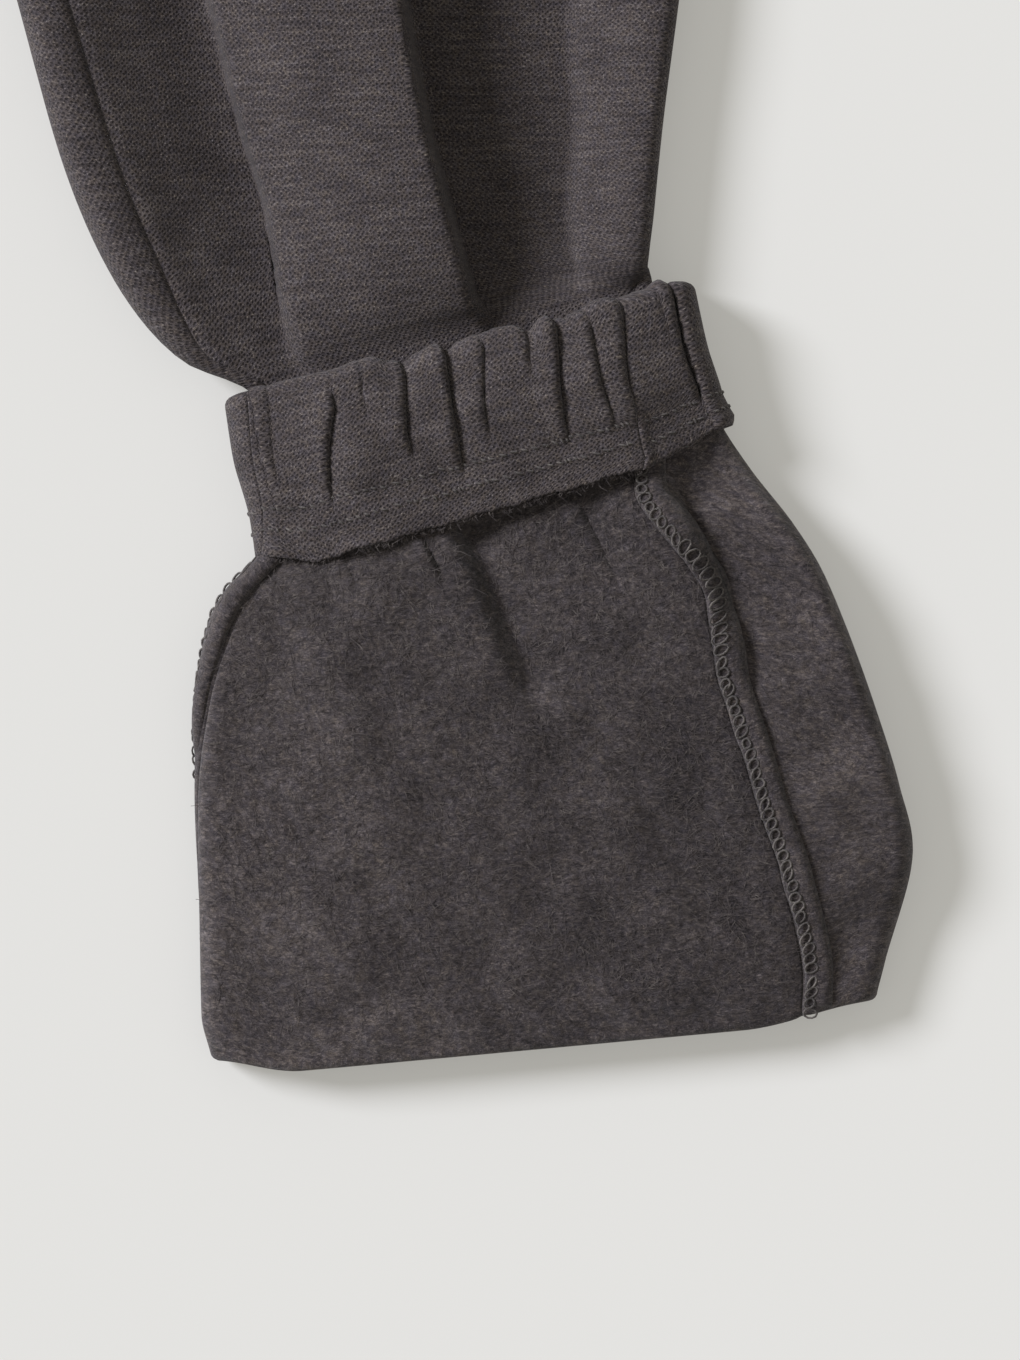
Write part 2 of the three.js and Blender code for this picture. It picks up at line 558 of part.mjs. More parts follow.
function waistband() {
  const outer = [];
  const inner = [];
  const folds = [0.25, 0.5, 0.75];
  for (const row of BAND) {
    const b = named(BAND_COLUMNS, row);
    const flat = b.half - BAND_ROLL;
    const ring = [];
    for (const t of steps(BAND_STEPS)) {
      const fade = ease(t / 0.04) * ease((1 - t) / 0.04);
      const wave = b.wave * fade * Math.sin(2 * Math.PI * BAND_WAVES * t);
      ring.push([-flat + 2 * flat * t, b.height, 0, 1, wave]);
    }
    for (const t of folds) ring.push([flat, b.height / 2, Math.sin(t * Math.PI), Math.cos(t * Math.PI), 0]);
    for (const t of steps(6)) ring.push([flat - 2 * flat * t, 0, 0, -1, 0]);
    for (const t of folds) ring.push([-flat, b.height / 2, -Math.sin(t * Math.PI), -Math.cos(t * Math.PI), 0]);
    const rowOut = [];
    const rowIn = [];
    for (const [x, z, nx, nz, wave] of ring) {
      const onFold = nx !== 0;
      const roundX = onFold ? BAND_ROLL : 0;
      const roundZ = onFold ? b.height / 2 : 0;
      rowOut.push(new THREE.Vector3(x + nx * roundX, b.y, z + nz * roundZ + wave));
      const innerX = onFold ? BAND_ROLL - BAND_CLOTH : 0;
      const innerZ = onFold ? b.height / 2 - BAND_CLOTH : -BAND_CLOTH;
      rowIn.push(new THREE.Vector3(x + nx * innerX, b.y, z + nz * innerZ));
    }
    outer.push(rowOut);
    inner.push(rowIn);
  }
  return closedWall(outer.reverse(), inner.reverse(), false, true);
}

function mesh(name, geometry) {
  const piece = new THREE.Mesh(geometry, FACE_CLOTH.clone());
  piece.name = name;
  return piece;
}

const trousers = new THREE.Group();
trousers.name = 'jogger_sweatpants';
trousers.add(
  mesh('front_left', wall(leftRuns, 'front', false)),
  mesh('back_left', wall(leftRuns, 'back', false)),
  mesh('front_right', wall([plainRun], 'front', true)),
  mesh('back_right', wall([plainRun], 'back', true)),
  mesh('waistband', waistband()),
);

// The origin stands under the middle of the whole piece
const box = new THREE.Box3().setFromObject(trousers);
const middle = box.getCenter(new THREE.Vector3());
for (const piece of trousers.children) piece.geometry.translate(-middle.x, -middle.y, 0);

export default trousers;
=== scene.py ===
import math
from types import SimpleNamespace

import bmesh
import bpy
import numpy as np
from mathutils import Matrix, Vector


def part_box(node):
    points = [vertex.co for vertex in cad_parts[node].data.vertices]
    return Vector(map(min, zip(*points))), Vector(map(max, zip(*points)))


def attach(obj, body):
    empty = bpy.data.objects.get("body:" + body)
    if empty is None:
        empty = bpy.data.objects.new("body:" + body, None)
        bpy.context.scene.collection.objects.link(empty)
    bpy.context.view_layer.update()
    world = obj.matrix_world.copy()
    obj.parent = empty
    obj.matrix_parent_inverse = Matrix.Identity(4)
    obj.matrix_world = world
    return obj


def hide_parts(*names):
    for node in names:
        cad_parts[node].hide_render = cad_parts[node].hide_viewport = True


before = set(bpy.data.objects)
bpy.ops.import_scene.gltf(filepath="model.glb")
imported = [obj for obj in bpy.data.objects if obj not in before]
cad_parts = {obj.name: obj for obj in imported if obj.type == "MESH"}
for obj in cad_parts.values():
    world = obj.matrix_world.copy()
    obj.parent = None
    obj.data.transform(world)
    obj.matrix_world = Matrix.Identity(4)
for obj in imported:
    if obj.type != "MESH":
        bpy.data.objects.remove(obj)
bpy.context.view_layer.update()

# Left front: one panel of knit with a pique face and a brushed back, cut from the waist seam to
# the hem. It is overlocked to the left back down both sides of the leg, and lies in soft pleats
# where the elastic hem, turned up over it, squeezes it. Sizes are in millimetres, with X from the
# centre line and Y from the crotch.
CLOTH = 2.0
SEAM_GAP = 0.1
LAYER = 2.4
TURN_ROWS = 7
WAIST_SEAM = 262.0
BAND_TOP = 302.0
COLUMNS = ("lx", "ly", "rx", "ry", "base", "shoulder_l", "shoulder_r", "roll_l", "roll_r",
           "crown", "bow", "inseam", "outseam", "split", "gather")
BODY = (
    (-3.8, 262, 172, 262, 0, 9, 9, 3, 3.4, 9.0, 0, 0, 0, 1, 1.0),
    (-3.8, 248, 188, 248, 0, 9, 8.6, 3, 3.2, 9.0, 0, 0, 0, 1, 1.2),
    (-3.6, 222, 211, 222, 0, 8, 8, 2.8, 3.0, 8.0, 0, 0, 0, 1, 0.9),
    (-3.4, 165, 238, 165, 0, 6.6, 7, 2.6, 2.8, 6.6, 0, 0, 0, 1, 0.3),
    (-3.4, 90, 259, 90, 0, 6, 6.8, 2.6, 2.6, 5.8, 0, 0, 0, 1, 0),
    (-3.4, 8, 273, 8, 0, 6.2, 6.6, 2.6, 2.6, 5.6, 0, 1, 0, 1, 0),
    (0.3, -4, 274, -4, 0, 6.6, 6.6, 2.6, 2.6, 5.6, 0, 1.5, 0, 0, 0),
    (17, -60, 274, -60, 0, 6.8, 6.8, 2.8, 2.6, 5.6, 0, 4, 0, 0, 0),
    (39, -130, 269, -130, 0, 7.2, 7, 3, 2.8, 5.6, 0, 6.5, 0, 0, 0),
)
LEG = (
    (62.5, -210, 260, -210, 0, 10, 9.6, 3.8, 3, 6.4, 0, 9, 0, 0, 0),
    (79.5, -270, 252, -270, 0, 14, 13, 4.4, 2.8, 8, 0, 10, 0, 0, 0),
    (93.4, -318.6, 246.1, -318.6, 0, 16.8, 13.4, 4.8, 2.6, 9, 0, 11, 0, 0, 0),
    (102.6, -351.9, 242.4, -347.4, 0, 17.4, 13.6, 4.8, 2.6, 9, 0, 11.8, 0, 0, 0),
    (107.6, -366, 241.3, -357.7, 0, 17.4, 13.6, 4.8, 2.6, 9.6, 0, 11.7, 0, 0, 0),
    (113.6, -378.9, 240.3, -368.1, 0.8, 17.2, 13.6, 4.8, 2.6, 10, 0, 11.2, 0, 0, 0),
    (122.4, -392.4, 239.4, -376.1, 2.8, 16, 13.8, 4.6, 3, 10.6, 0, 8.3, 0, 0, 0),
    (132.7, -401.9, 239.2, -379.6, 4.8, 14, 13.4, 4.6, 4, 11, 0, 4.2, 0, 0, 0),
    (141.2, -405.2, 239.4, -381.2, 5.6, 12.4, 12.4, 3.4, 4, 11, 0, 3, 1, 0, 0),
    (147.4, -408.6, 239.8, -383.6, 6, 11.3, 11.3, 2.8, 3.2, 11, 0, 3, 3, 0, 0),
)
LEG_INSIDE = (
    (149.9, -423, 243.6, -400, 6, 11.2, 11.2, 2.8, 3, 13.2, 0, 3, 8, 0, 0),
    (154.6, -440, 250.6, -413, 5.4, 11, 11, 2.8, 3, 13.4, 0, 3, 14, 0, 0),
    (155.4, -451.6, 255.8, -425.4, 3.9, 10.6, 10.6, 3.2, 3.4, 13.4, 0, 3, 17, 0, 0),
    (150.2, -458.6, 267, -443.6, 2.8, 10, 10, 3.2, 3.4, 13.2, 0, 3, 22, 0, 0),
    (142.6, -470, 279, -465, 2.6, 9.6, 9.6, 3.2, 3.2, 13.2, 0, 2, 24, 0, 0),
    (138.6, -500.3, 292, -499.2, 2.6, 9.2, 9.2, 3, 3, 12.4, 1, 0.6, 28, 0, 0),
    (138.9, -528, 294.8, -517, 2.5, 8.8, 8.8, 2.8, 2.8, 11.6, 2.6, 0, 26, 0, 0),
    (139.4, -548, 292, -534.6, 2.5, 8.4, 8.4, 2.6, 2.6, 10.6, 3.8, 0, 19, 0, 0),
    (139.8, -560.6, 289.4, -546.8, 2.4, 8.2, 8.2, 2.6, 2.6, 9.4, 4, 0, 14.6, 0, 0),
)
PLEAT_COLUMNS = ("y", "valley", "crest", "edge", "foot", "flat", "strip", "low", "high", "side")
PLEATS = (
    (-60, 68, 80, 168, 184, 236, 246, 5.6, 5.6, 5.6),
    (-130, 62, 70, 142, 152, 206, 214, 5.2, 8, 6.6),
    (-210, 56, 61, 117, 122, 180, 188, 4.8, 14.6, 9),
    (-270, 49, 52, 99, 102, 157, 161, 4.6, 20.6, 9),
    (-318.6, 43.5, 46, 87.9, 90.4, 126, 133, 3.6, 24, 8.4),
    (-349.6, 43, 45.4, 84, 86.4, 118, 124, 3.4, 24.4, 8.4),
    (-361.9, 42, 44.4, 81.9, 84.4, 112, 118, 3.6, 24.2, 8.6),
    (-373.5, 38.8, 41.2, 79, 81.4, 106, 111, 4.4, 23.4, 9),
    (-384.2, 32, 34.8, 73.4, 76, 100, 103, 7.2, 21, 10.4),
    (-390.8, 23, 27, 65.4, 68.4, 91, 95.4, 9, 18, 11.4),
    (-393.3, 15, 20, 58, 62, 83, 87, 10.2, 15.4, 11.4),
    (-396.1, 11, 18, 54, 58, 78, 83, 10.8, 14, 11.4),
    (-411.5, 12, 20, 54, 58, 76, 82, 10.9, 13.4, 11.4),
    (-426.5, 16, 28, 50, 58, 72, 80, 12.8, 13.4, 12.4),
)
# Soft folds: from one end to the other in X and Y, the height of the ridge and its width
FOLD_COLUMNS = ("x1", "y1", "x2", "y2", "height", "width")
LEFT_FRONT_FOLDS = (
    (6, -14, 74, -72, 2.2, 7),
    (10, 30, 96, 4, 1.6, 11),
    (60, 150, 120, 96, 1.3, 13),
    (232, 130, 182, 60, 1.5, 12),
    (262, -20, 214, -96, 1.8, 10),
    (120, 40, 140, -80, 1.1, 14),
    (250, -150, 222, -250, 1.6, 8),
    (74, -180, 104, -300, 1.4, 7),
    (180, 226, 150, 176, 1.6, 9),
    (30, 236, 44, 190, 1.4, 8),
)


def smooth_curve(xs, ys, flat_ends=False):
    """A smooth curve through points that never swings past them."""
    xs, ys = np.array(xs, float), np.array(ys, float)
    rise = np.diff(ys) / np.diff(xs)
    slopes = np.zeros(len(xs))
    if not flat_ends:
        slopes[0], slopes[-1] = rise[0], rise[-1]
    before, after = rise[:-1], rise[1:]
    inner = before * after > 0
    slopes[1:-1][inner] = (2 * before * after)[inner] / (before + after)[inner]

    def curve(x):
        at = np.clip(x, xs[0], xs[-1])
        i = np.clip(np.searchsorted(xs, at) - 1, 0, len(xs) - 2)
        span = xs[i + 1] - xs[i]
        t = (at - xs[i]) / span
        keep = (1 + 2 * t) * (1 - t) ** 2 * ys[i] + t * t * (3 - 2 * t) * ys[i + 1]
        return keep + t * (1 - t) * span * ((1 - t) * slopes[i] - t * slopes[i + 1])

    return curve


def ease(t):
    """Rises smoothly from 0 at 0 to 1 at 1."""
    u = np.clip(t, 0, 1)
    return u * u * (3 - 2 * u)


def girth(section):
    """Width, then the lengths of the left fold, the top and the right fold round a section."""
    width = math.hypot(section.rx - section.lx, section.ry - section.ly) - CLOTH

    def quarter(roll, shoulder):
        half = (shoulder - section.base - CLOTH) / 2
        return math.pi / 2 * math.sqrt((roll ** 2 + half ** 2) / 2)

    left = quarter(section.roll_l, section.shoulder_l)
    right = quarter(section.roll_r, section.shoulder_r)
    return width, left, width - section.roll_l - section.roll_r, right


def seam_places(section):
    """Distances round a section of the inseam, the outseam and the inseam again."""
    _, left, top, right = girth(section)

    def inset(seam, roll, quarter):
        if seam > roll:
            return quarter + seam - roll
        return quarter * math.acos(1 - max(seam, 0) / roll) * 2 / math.pi

    around = 2 * (left + top + right)
    inner = inset(section.inseam, section.roll_l, left)
    outer = left + top + right - inset(section.outseam, section.roll_r, right)
    start = inner + (left - inner) * section.split
    end = around + inner - (left + inner) * section.split
    return start, outer, end


def across_of(h):
    """How far across the section, 0 left and 1 right, a place round it is."""
    return np.interp(h, [0, 1, 2, 3, 4, 5, 7, 8], [0, 0, 1, 1, 1, 0, 0, 1])


def point_on(section, h, top_of):
    """Points of the cloth's middle layer. Round the section, h is 0 at the left edge, 1 and 2 at
    the ends of the top, 3 at the right edge, 4 and 5 at the ends of the underside."""
    width, _, top, _ = girth(section)
    part = np.floor(h).astype(int) % 6
    t = h - np.floor(h)
    sine, cosine = np.sin(t * np.pi / 2), np.cos(t * np.pi / 2)
    floor = section.base + CLOTH / 2
    middle_l = (section.shoulder_l + section.base) / 2
    middle_r = (section.shoulder_r + section.base) / 2
    roll_l, roll_r = section.roll_l, section.roll_r
    across = np.choose(part, [
        roll_l * (1 - cosine), roll_l + top * t, width - roll_r * (1 - sine),
        width - roll_r * (1 - cosine), width - roll_r - top * t, roll_l * (1 - sine)])
    z = np.choose(part, [
        middle_l + (middle_l - floor) * sine, top_of(section, t) - CLOTH / 2,
        middle_r + (middle_r - floor) * cosine, middle_r - (middle_r - floor) * sine,
        np.full(len(t), floor), middle_l - (middle_l - floor) * cosine])
    length = width + CLOTH
    ux, uy = (section.rx - section.lx) / length, (section.ry - section.ly) / length
    along = across + CLOTH / 2
    e = along / length
    bend = section.bow * ease(e / 0.13) * ease((1 - e) / 0.2)
    return np.stack([section.lx + ux * along + uy * bend,
                     section.ly + uy * along - ux * bend, z], axis=1)


def still(points, s, h):
    """A stretch whose edge isn't scalloped."""
    return points


class Stretch:
    """A length of tube. Each column of its table is a smooth curve of the distance along it, and
    top_of gives the height of its top across the section."""

    def __init__(self, rows, top_of, shift=still):
        table = np.array(rows, float)
        middle = (table[:, 0:2] + table[:, 2:4]) / 2
        steps = np.linalg.norm(np.diff(middle, axis=0), axis=1)
        self.rows = np.concatenate([[0], np.cumsum(steps)])
        self.curves = [smooth_curve(self.rows, column) for column in table.T]
        self.top_of, self.shift, self.end = top_of, shift, self.rows[-1]

    def section(self, s):
        return SimpleNamespace(**{n: float(c(s)) for n, c in zip(COLUMNS, self.curves)})

    def stations(self, *reaches):
        """Distances along it. Each reach runs to a row of the table, in steps of a given length."""
        found, start = [], 0.0
        for row, step in reaches:
            count = max(1, math.ceil((self.rows[row] - start) / step))
            found += list(np.linspace(start, self.rows[row], count, endpoint=False))
            start = self.rows[row]
        return [*found, start]

    def places(self, s, side, columns):
        """Even places round the section at s, over the front or the back panel."""
        section = self.section(s)
        _, left, top, right = girth(section)
        inner, outer, again = seam_places(section)
        start, end = (inner, outer) if side == "front" else (outer, again)
        distance = np.linspace(start + SEAM_GAP / 2, end - SEAM_GAP / 2, columns)
        sums = np.cumsum([0] + [left, top, right, right, top, left] * 2)
        return np.interp(distance, sums, np.arange(13))

    def point(self, s, h):
        return self.shift(point_on(self.section(s), h, self.top_of), s, h)

    def panel(self, stations, side, columns):
        return [self.point(s, self.places(s, side, columns)) for s in stations]


def fold_over(before, after, forward, side, columns):
    """Rows of the turn where the cloth doubles back: a half circle between two stretches. forward
    is 1 where it bulges down the leg."""
    h = after.places(0, side, columns)
    a, b = before.point(before.end, h), after.point(0, h)
    left, right = after.point(0, np.array([1.2])), after.point(0, np.array([1.8]))
    way = (right - left)[0]
    bulge = forward * np.array([way[1], -way[0], 0]) / math.hypot(way[0], way[1])
    reach = np.linalg.norm(b - a, axis=1, keepdims=True) / 2
    angles = np.linspace(0, np.pi, TURN_ROWS + 2)[1:-1]
    return [a + (b - a) * (1 - np.cos(g)) / 2 + bulge * reach * np.sin(g) for g in angles]


def plain_top(section, e):
    side = section.shoulder_l + (section.shoulder_r - section.shoulder_l) * e
    return side + (section.crown - side) * ease(e / 0.22) * ease((1 - e) / 0.22)


def even_gathers(count):
    def top_of(section, e):
        fade = ease(e / 0.08) * ease((1 - e) / 0.08)
        wave = np.sin(2 * np.pi * count * (e + 0.02 * np.sin(9 * e) + 0.013 * np.sin(31 * e)))
        uneven = 1 + 0.35 * np.sin(17 * e + 1.3)
        return plain_top(section, e) + section.gather * 1.2 * fade * wave * uneven
    return top_of


waist_top = even_gathers(7)
pleat_table = np.array(PLEATS).T
pleat_curves = {name: smooth_curve(-pleat_table[0], column)
                for name, column in zip(PLEAT_COLUMNS, pleat_table)}


def pleated_top(section, e):
    _, _, top, _ = girth(section)
    y = -(section.ly + section.ry) / 2
    pleat = {name: float(curve(y)) for name, curve in pleat_curves.items()}
    names = ("valley", "crest", "edge", "foot", "flat", "strip")
    places = [(pleat[name] - CLOTH / 2 - section.roll_l) / top for name in names]
    low, high = pleat["low"], pleat["high"]
    valley = max(places[0], 0.02)
    hollow = low + 0.46 * (section.shoulder_l - low)
    heights = [section.shoulder_l, hollow, low, low + 0.5 * (high - low), high,
               low + 0.17 * (high - low), low, pleat["side"], section.shoulder_r]
    return smooth_curve([0, valley * 0.5, valley, *places[1:], 1], heights, True)(e)


def leg_top(section, e):
    y = (section.ly + section.ry) / 2
    if y > -60:
        return waist_top(section, e)
    return pleated_top(section, e) if y > -426 else plain_top(section, e)


def ridges(table, x, y):
    """Height that soft folds add: each is a ridge with a shallow trough beside it."""
    total = np.zeros(np.shape(x))
    for row in table:
        fold = SimpleNamespace(**dict(zip(FOLD_COLUMNS, row)))
        dx, dy = fold.x2 - fold.x1, fold.y2 - fold.y1
        length = math.hypot(dx, dy)
        along = ((x - fold.x1) * dx + (y - fold.y1) * dy) / length ** 2
        sway = 0.35 * fold.width * np.sin(along * 4.2 + fold.x1)
        off = (((x - fold.x1) * dy - (y - fold.y1) * dx) / length + sway) / fold.width
        fade = ease((along + 0.25) / 0.5) * ease((1.25 - along) / 0.6)
        total += fold.height * fade * (np.exp(-off ** 2) - 0.4 * np.exp(-((off - 1.7) / 0.9) ** 2))
    return total


def unevenness(x, y, wave, seed):
    """Gentle, irregular rise and fall, of about that wavelength."""
    random = np.random.default_rng(seed)
    total = np.zeros(np.shape(x))
    for angle, size, phase in random.uniform((0, 0.7, 0), (np.pi, 1.7, 6.3), (8, 3)):
        turn = (x * math.cos(angle) + y * math.sin(angle)) / (wave * size)
        total += np.sin(2 * np.pi * turn + phase)
    return total / 4


def normals_of(points):
    """Unit normals of a grid of points, on the cloth's face side."""
    down = np.gradient(points, axis=0)
    across = np.gradient(points, axis=1)
    normal = np.cross(down, across)
    return normal / np.maximum(np.linalg.norm(normal, axis=2, keepdims=True), 1e-9)


def grain_of(points):
    """Millimetres along and across the knit, for the pattern to follow."""
    middle = points.shape[1] // 2
    across = np.linalg.norm(np.diff(points, axis=1), axis=2).cumsum(axis=1)
    across = np.concatenate([np.zeros((len(points), 1)), across], axis=1)
    down = np.linalg.norm(np.diff(points[:, middle], axis=0), axis=1).cumsum()
    down = np.concatenate([[0], down])[:, None]
    return np.stack([across - across[:, middle:middle + 1], down + 0 * across], axis=2)


band_low, band_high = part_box("waistband")
SHIFT = np.array([(band_low.x + band_high.x) / 2 * 1000, band_high.y * 1000 - BAND_TOP, 0])


def relieved(points, height, seams=0.75, face_up=1):
    """Adds folds of that height to a panel, and the groove along the seams at its sides."""
    across = np.linalg.norm(np.diff(points, axis=1), axis=2).cumsum(axis=1)
    across = np.concatenate([np.zeros((len(points), 1)), across], axis=1)
    near = np.minimum(across, across[:, -1:] - across)
    rise = height * ease(near / 12) - seams * np.exp(-(near / 1.3) ** 2)
    lifted = points + normals_of(points) * (face_up * rise)[:, :, None]
    lifted[:, :, 2] = np.maximum(lifted[:, :, 2], CLOTH / 2)
    lifted[:, :, 1] = np.minimum(lifted[:, :, 1], WAIST_SEAM)
    return lifted


def placed_piece(name, data):
    piece = bpy.data.objects.new(name, data)
    bpy.context.collection.objects.link(piece)
    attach(piece, "root")
    return piece


def cloth_piece(name, node, points, finishes, mirrored=False, thickness=CLOTH):
    """A sheet of cloth from the points of its middle layer, with a wall thickness."""
    rows, columns = points.shape[:2]
    bm = bmesh.new()
    bmesh.ops.create_grid(bm, x_segments=columns - 1, y_segments=rows - 1, size=0.5)
    if not mirrored:
        bmesh.ops.reverse_faces(bm, faces=bm.faces)
    mesh = bpy.data.meshes.new(name)
    bm.to_mesh(mesh)
    bm.free()
    placed = points * np.array([-1 if mirrored else 1, 1, 1]) + SHIFT
    mesh.vertices.foreach_set("co", (placed / 1000).astype(np.float32).ravel())
    corner = np.empty(len(mesh.loops), np.int32)
    mesh.loops.foreach_get("vertex_index", corner)
    grain = mesh.uv_layers.new(name="grain")
    grain.data.foreach_set("uv", grain_of(points).reshape(-1, 2)[corner].astype(np.float32).ravel())
    mesh.shade_smooth()
    mesh.update()
    for finish in finishes:
        mesh.materials.append(finish)
    piece = placed_piece(name, mesh)
    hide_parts(node)
    wall = piece.modifiers.new("wall", "SOLIDIFY")
    wall.thickness, wall.offset = thickness / 1000, 0
    wall.material_offset = wall.material_offset_rim = 1
    return piece


class Look:
    """A socket in a material. Arithmetic on it adds Math nodes, and node() adds any other."""

    def __init__(self, tree, socket=None):
        self.tree, self.socket = tree, socket

    def node(self, kind, settings, sockets, output=0):
        made = self.tree.nodes.new(kind)
        for key, value in settings.items():
            if key == "stops":
                ramp = made.color_ramp
                while len(ramp.elements) < len(value):
                    ramp.elements.new(0.5)
                for element, (place, colour) in zip(ramp.elements, value):
                    element.position, element.color = place, (*colour, 1)
            else:
                setattr(made, key, value)
        for key, value in sockets.items():
            if isinstance(value, Look):
                self.tree.links.new(value.socket, made.inputs[key])
            else:
                made.inputs[key].default_value = value
        return Look(self.tree, made.outputs[output] if made.outputs else None)

    def math(self, operation, *values):
        return self.node("ShaderNodeMath", {"operation": operation}, dict(enumerate(values)))

    def __add__(self, other):
        return self.math("ADD", self, other)

    def __sub__(self, other):
        return self.math("SUBTRACT", self, other)

    def __mul__(self, other):
        return self.math("MULTIPLY", self, other)

    __radd__, __rmul__ = __add__, __mul__

    def sine(self):
        return self.math("SINE", self)

    def noise(self, vector, scale, detail=2, roughness=0.5, distortion=0.0):
        sockets = {"Vector": vector, "Scale": scale, "Detail": detail, "Roughness": roughness,
                   "Distortion": distortion}
        return self.node("ShaderNodeTexNoise", {}, sockets)

    def stretched(self, vector, turn, size):
        return self.node("ShaderNodeMapping", {},
                         {"Vector": vector, "Rotation": (0, 0, turn), "Scale": size})


def dyed(look, colour, place, scale, warm, cool):
    """Drifts a colour between a warmer and a cooler shade."""
    shade = look.node("ShaderNodeValToRGB", {"stops": ((0.35, warm), (0.65, cool))},
                      {0: look.noise(place, scale, 3, 0.7)})
    return look.node("ShaderNodeMix", {"data_type": "RGBA", "blend_type": "MULTIPLY"},
                     {0: 1.0, 6: colour, 7: shade}, 2)


def new_finish(name):
    material = bpy.data.materials.new(name)
    material.use_nodes = True
    material.node_tree.nodes.clear()
    return material, Look(material.node_tree)


# The pique face: small raised cells in two-way diagonals, knitted from a heather yarn of dark and
# light fibres
CELL = 0.98
material, look = new_finish("pique_face")
grain = look.node("ShaderNodeTexCoord", {}, {}, "UV")
cell_place = look.node("ShaderNodeMapping", {}, {
    "Vector": grain, "Rotation": (0, 0, math.radians(45)), "Scale": (1 / CELL, 1.15 / CELL, 1)})
cell_sockets = {"Vector": cell_place, "Scale": 1.0, "Randomness": 0.42}
pit = look.node("ShaderNodeTexVoronoi", {"voronoi_dimensions": "2D"}, cell_sockets, "Distance")
pit = look.node("ShaderNodeMapRange", {"interpolation_type": "SMOOTHSTEP"},
                {0: pit, 1: 0.1, 2: 0.46, 3: 0, 4: 1})
yarn = look.noise(look.stretched(grain, 0.7, (1, 2.2, 1)), 1.3, 3, 0.75)
fibre = look.noise(look.stretched(grain, -0.6, (1, 2.6, 1)), 3.2, 2, 0.6)
cloud = look.noise(grain, 0.09, 3, 0.6)
streak = look.noise(look.stretched(grain, 0, (0.1, 1, 1)), 0.9, 2, 0.5)
fleck = look.noise(grain, 2.1, 1, 0.5)
# The pit term paints the low centres of the cells darker: painted shade in the recesses, added to
# the shading that the bump already gives.
tone = (0.49 + (pit - 0.62) * 0.3 + (yarn - 0.5) * 1.05 + (fibre - 0.5) * 1.25
        + (cloud - 0.5) * 0.3 + (streak - 0.5) * 0.5)
tone = tone + look.node("ShaderNodeMapRange", {}, {0: fleck, 1: 0.6, 2: 0.8, 3: 0, 4: 0.6})
face_colour = look.node("ShaderNodeValToRGB", {"stops": (
    (0.10, (0.012, 0.0102, 0.0115)), (0.42, (0.043, 0.0365, 0.0385)),
    (0.66, (0.085, 0.0725, 0.0735)), (1.0, (0.21, 0.188, 0.172)))}, {0: tone})
height = pit * 0.8 + (yarn - 0.5) * 0.9 + (fibre - 0.5) * 0.4
bump = look.node("ShaderNodeBump", {}, {"Strength": 0.6, "Distance": 0.0005, "Height": height})
face_colour = dyed(look, face_colour, grain, 0.55, (1.06, 1.0, 0.9), (0.96, 0.97, 1.06))
shader = look.node("ShaderNodeBsdfPrincipled", {}, {
    "Base Color": face_colour, "Roughness": 0.92, "Normal": bump, "Specular IOR Level": 0.2,
    "Sheen Weight": 0.08, "Sheen Roughness": 0.5})
look.node("ShaderNodeOutputMaterial", {}, {0: shader})
pique_face = material

# The back of the same knit, brushed into a soft nap that lies in short tufts
material, look = new_finish("brushed_fleece")
grain = look.node("ShaderNodeTexCoord", {}, {}, "UV")
# lie is painted shade: a slow sine across the grain that darkens one wide band of the brushed back.
# It stands in for shading and is not a change in the nap itself.
lie = (look.node("ShaderNodeSeparateXYZ", {}, {0: grain}, "X") * 0.026).sine()
tuft = look.noise(look.stretched(grain, 0, (0.75, 1.2, 1)), 0.55, 4, 0.7, 0.9)
lay_a = look.noise(look.stretched(grain, 0.15, (0.9, 2.0, 1)), 0.9, 4, 0.7, 0.8)
lay_b = look.noise(look.stretched(grain, 1.1, (0.8, 2.6, 1)), 1.3, 3, 0.7, 0.8)
fibre = look.noise(look.stretched(grain, -0.5, (1, 3.0, 1)), 4.5, 2, 0.6, 0.5)
cloud = look.noise(grain, 0.05, 3, 0.6)
# The last term, lie, subtracts the painted shade band.
tone = (0.5 + (tuft - 0.5) * 1.0 + (lay_a - 0.5) * 1.1 + (lay_b - 0.5) * 1.0
        + (fibre - 0.5) * 1.3 + (cloud - 0.5) * 0.6 - lie * 0.05)
fleece_colour = look.node("ShaderNodeValToRGB", {"stops": (
    (0.10, (0.015, 0.0127, 0.0140)), (0.42, (0.052, 0.0447, 0.0468)),
    (0.65, (0.100, 0.0860, 0.0865)), (1.0, (0.24, 0.209, 0.192)))}, {0: tone})
height = (tuft - 0.5) * 1.4 + (lay_a - 0.5) * 1.0 + (fibre - 0.5) * 0.5
bump = look.node("ShaderNodeBump", {}, {"Strength": 0.7, "Distance": 0.0007, "Height": height})
fleece_colour = dyed(look, fleece_colour, grain, 0.4, (1.05, 1.0, 0.92), (0.97, 0.97, 1.05))
shader = look.node("ShaderNodeBsdfPrincipled", {}, {
    "Base Color": fleece_colour, "Roughness": 0.95, "Normal": bump, "Specular IOR Level": 0.15,
    "Sheen Weight": 0.2, "Sheen Roughness": 0.45})
look.node("ShaderNodeOutputMaterial", {}, {0: shader})
brushed_fleece = material
BOTH_SIDES = (pique_face, brushed_fleece)

LEG_COLUMNS = 150
LEG_REACHES = ((11, 4.2), (18, 1.15), (27, 5.5))
left_leg = Stretch([*BODY, *LEG, *LEG_INSIDE], leg_top)
points = np.array(left_leg.panel(left_leg.stations(*LEG_REACHES), "front", LEG_COLUMNS))
x, y = points[:, :, 0], points[:, :, 1]
outside = ease((y + 415) / 12)
height = outside * (ridges(LEFT_FRONT_FOLDS, x, y) + 0.45 * unevenness(x, y, 46, 3))
left_front = cloth_piece("left_front", "front_left", relieved(points, height),
                         BOTH_SIDES)

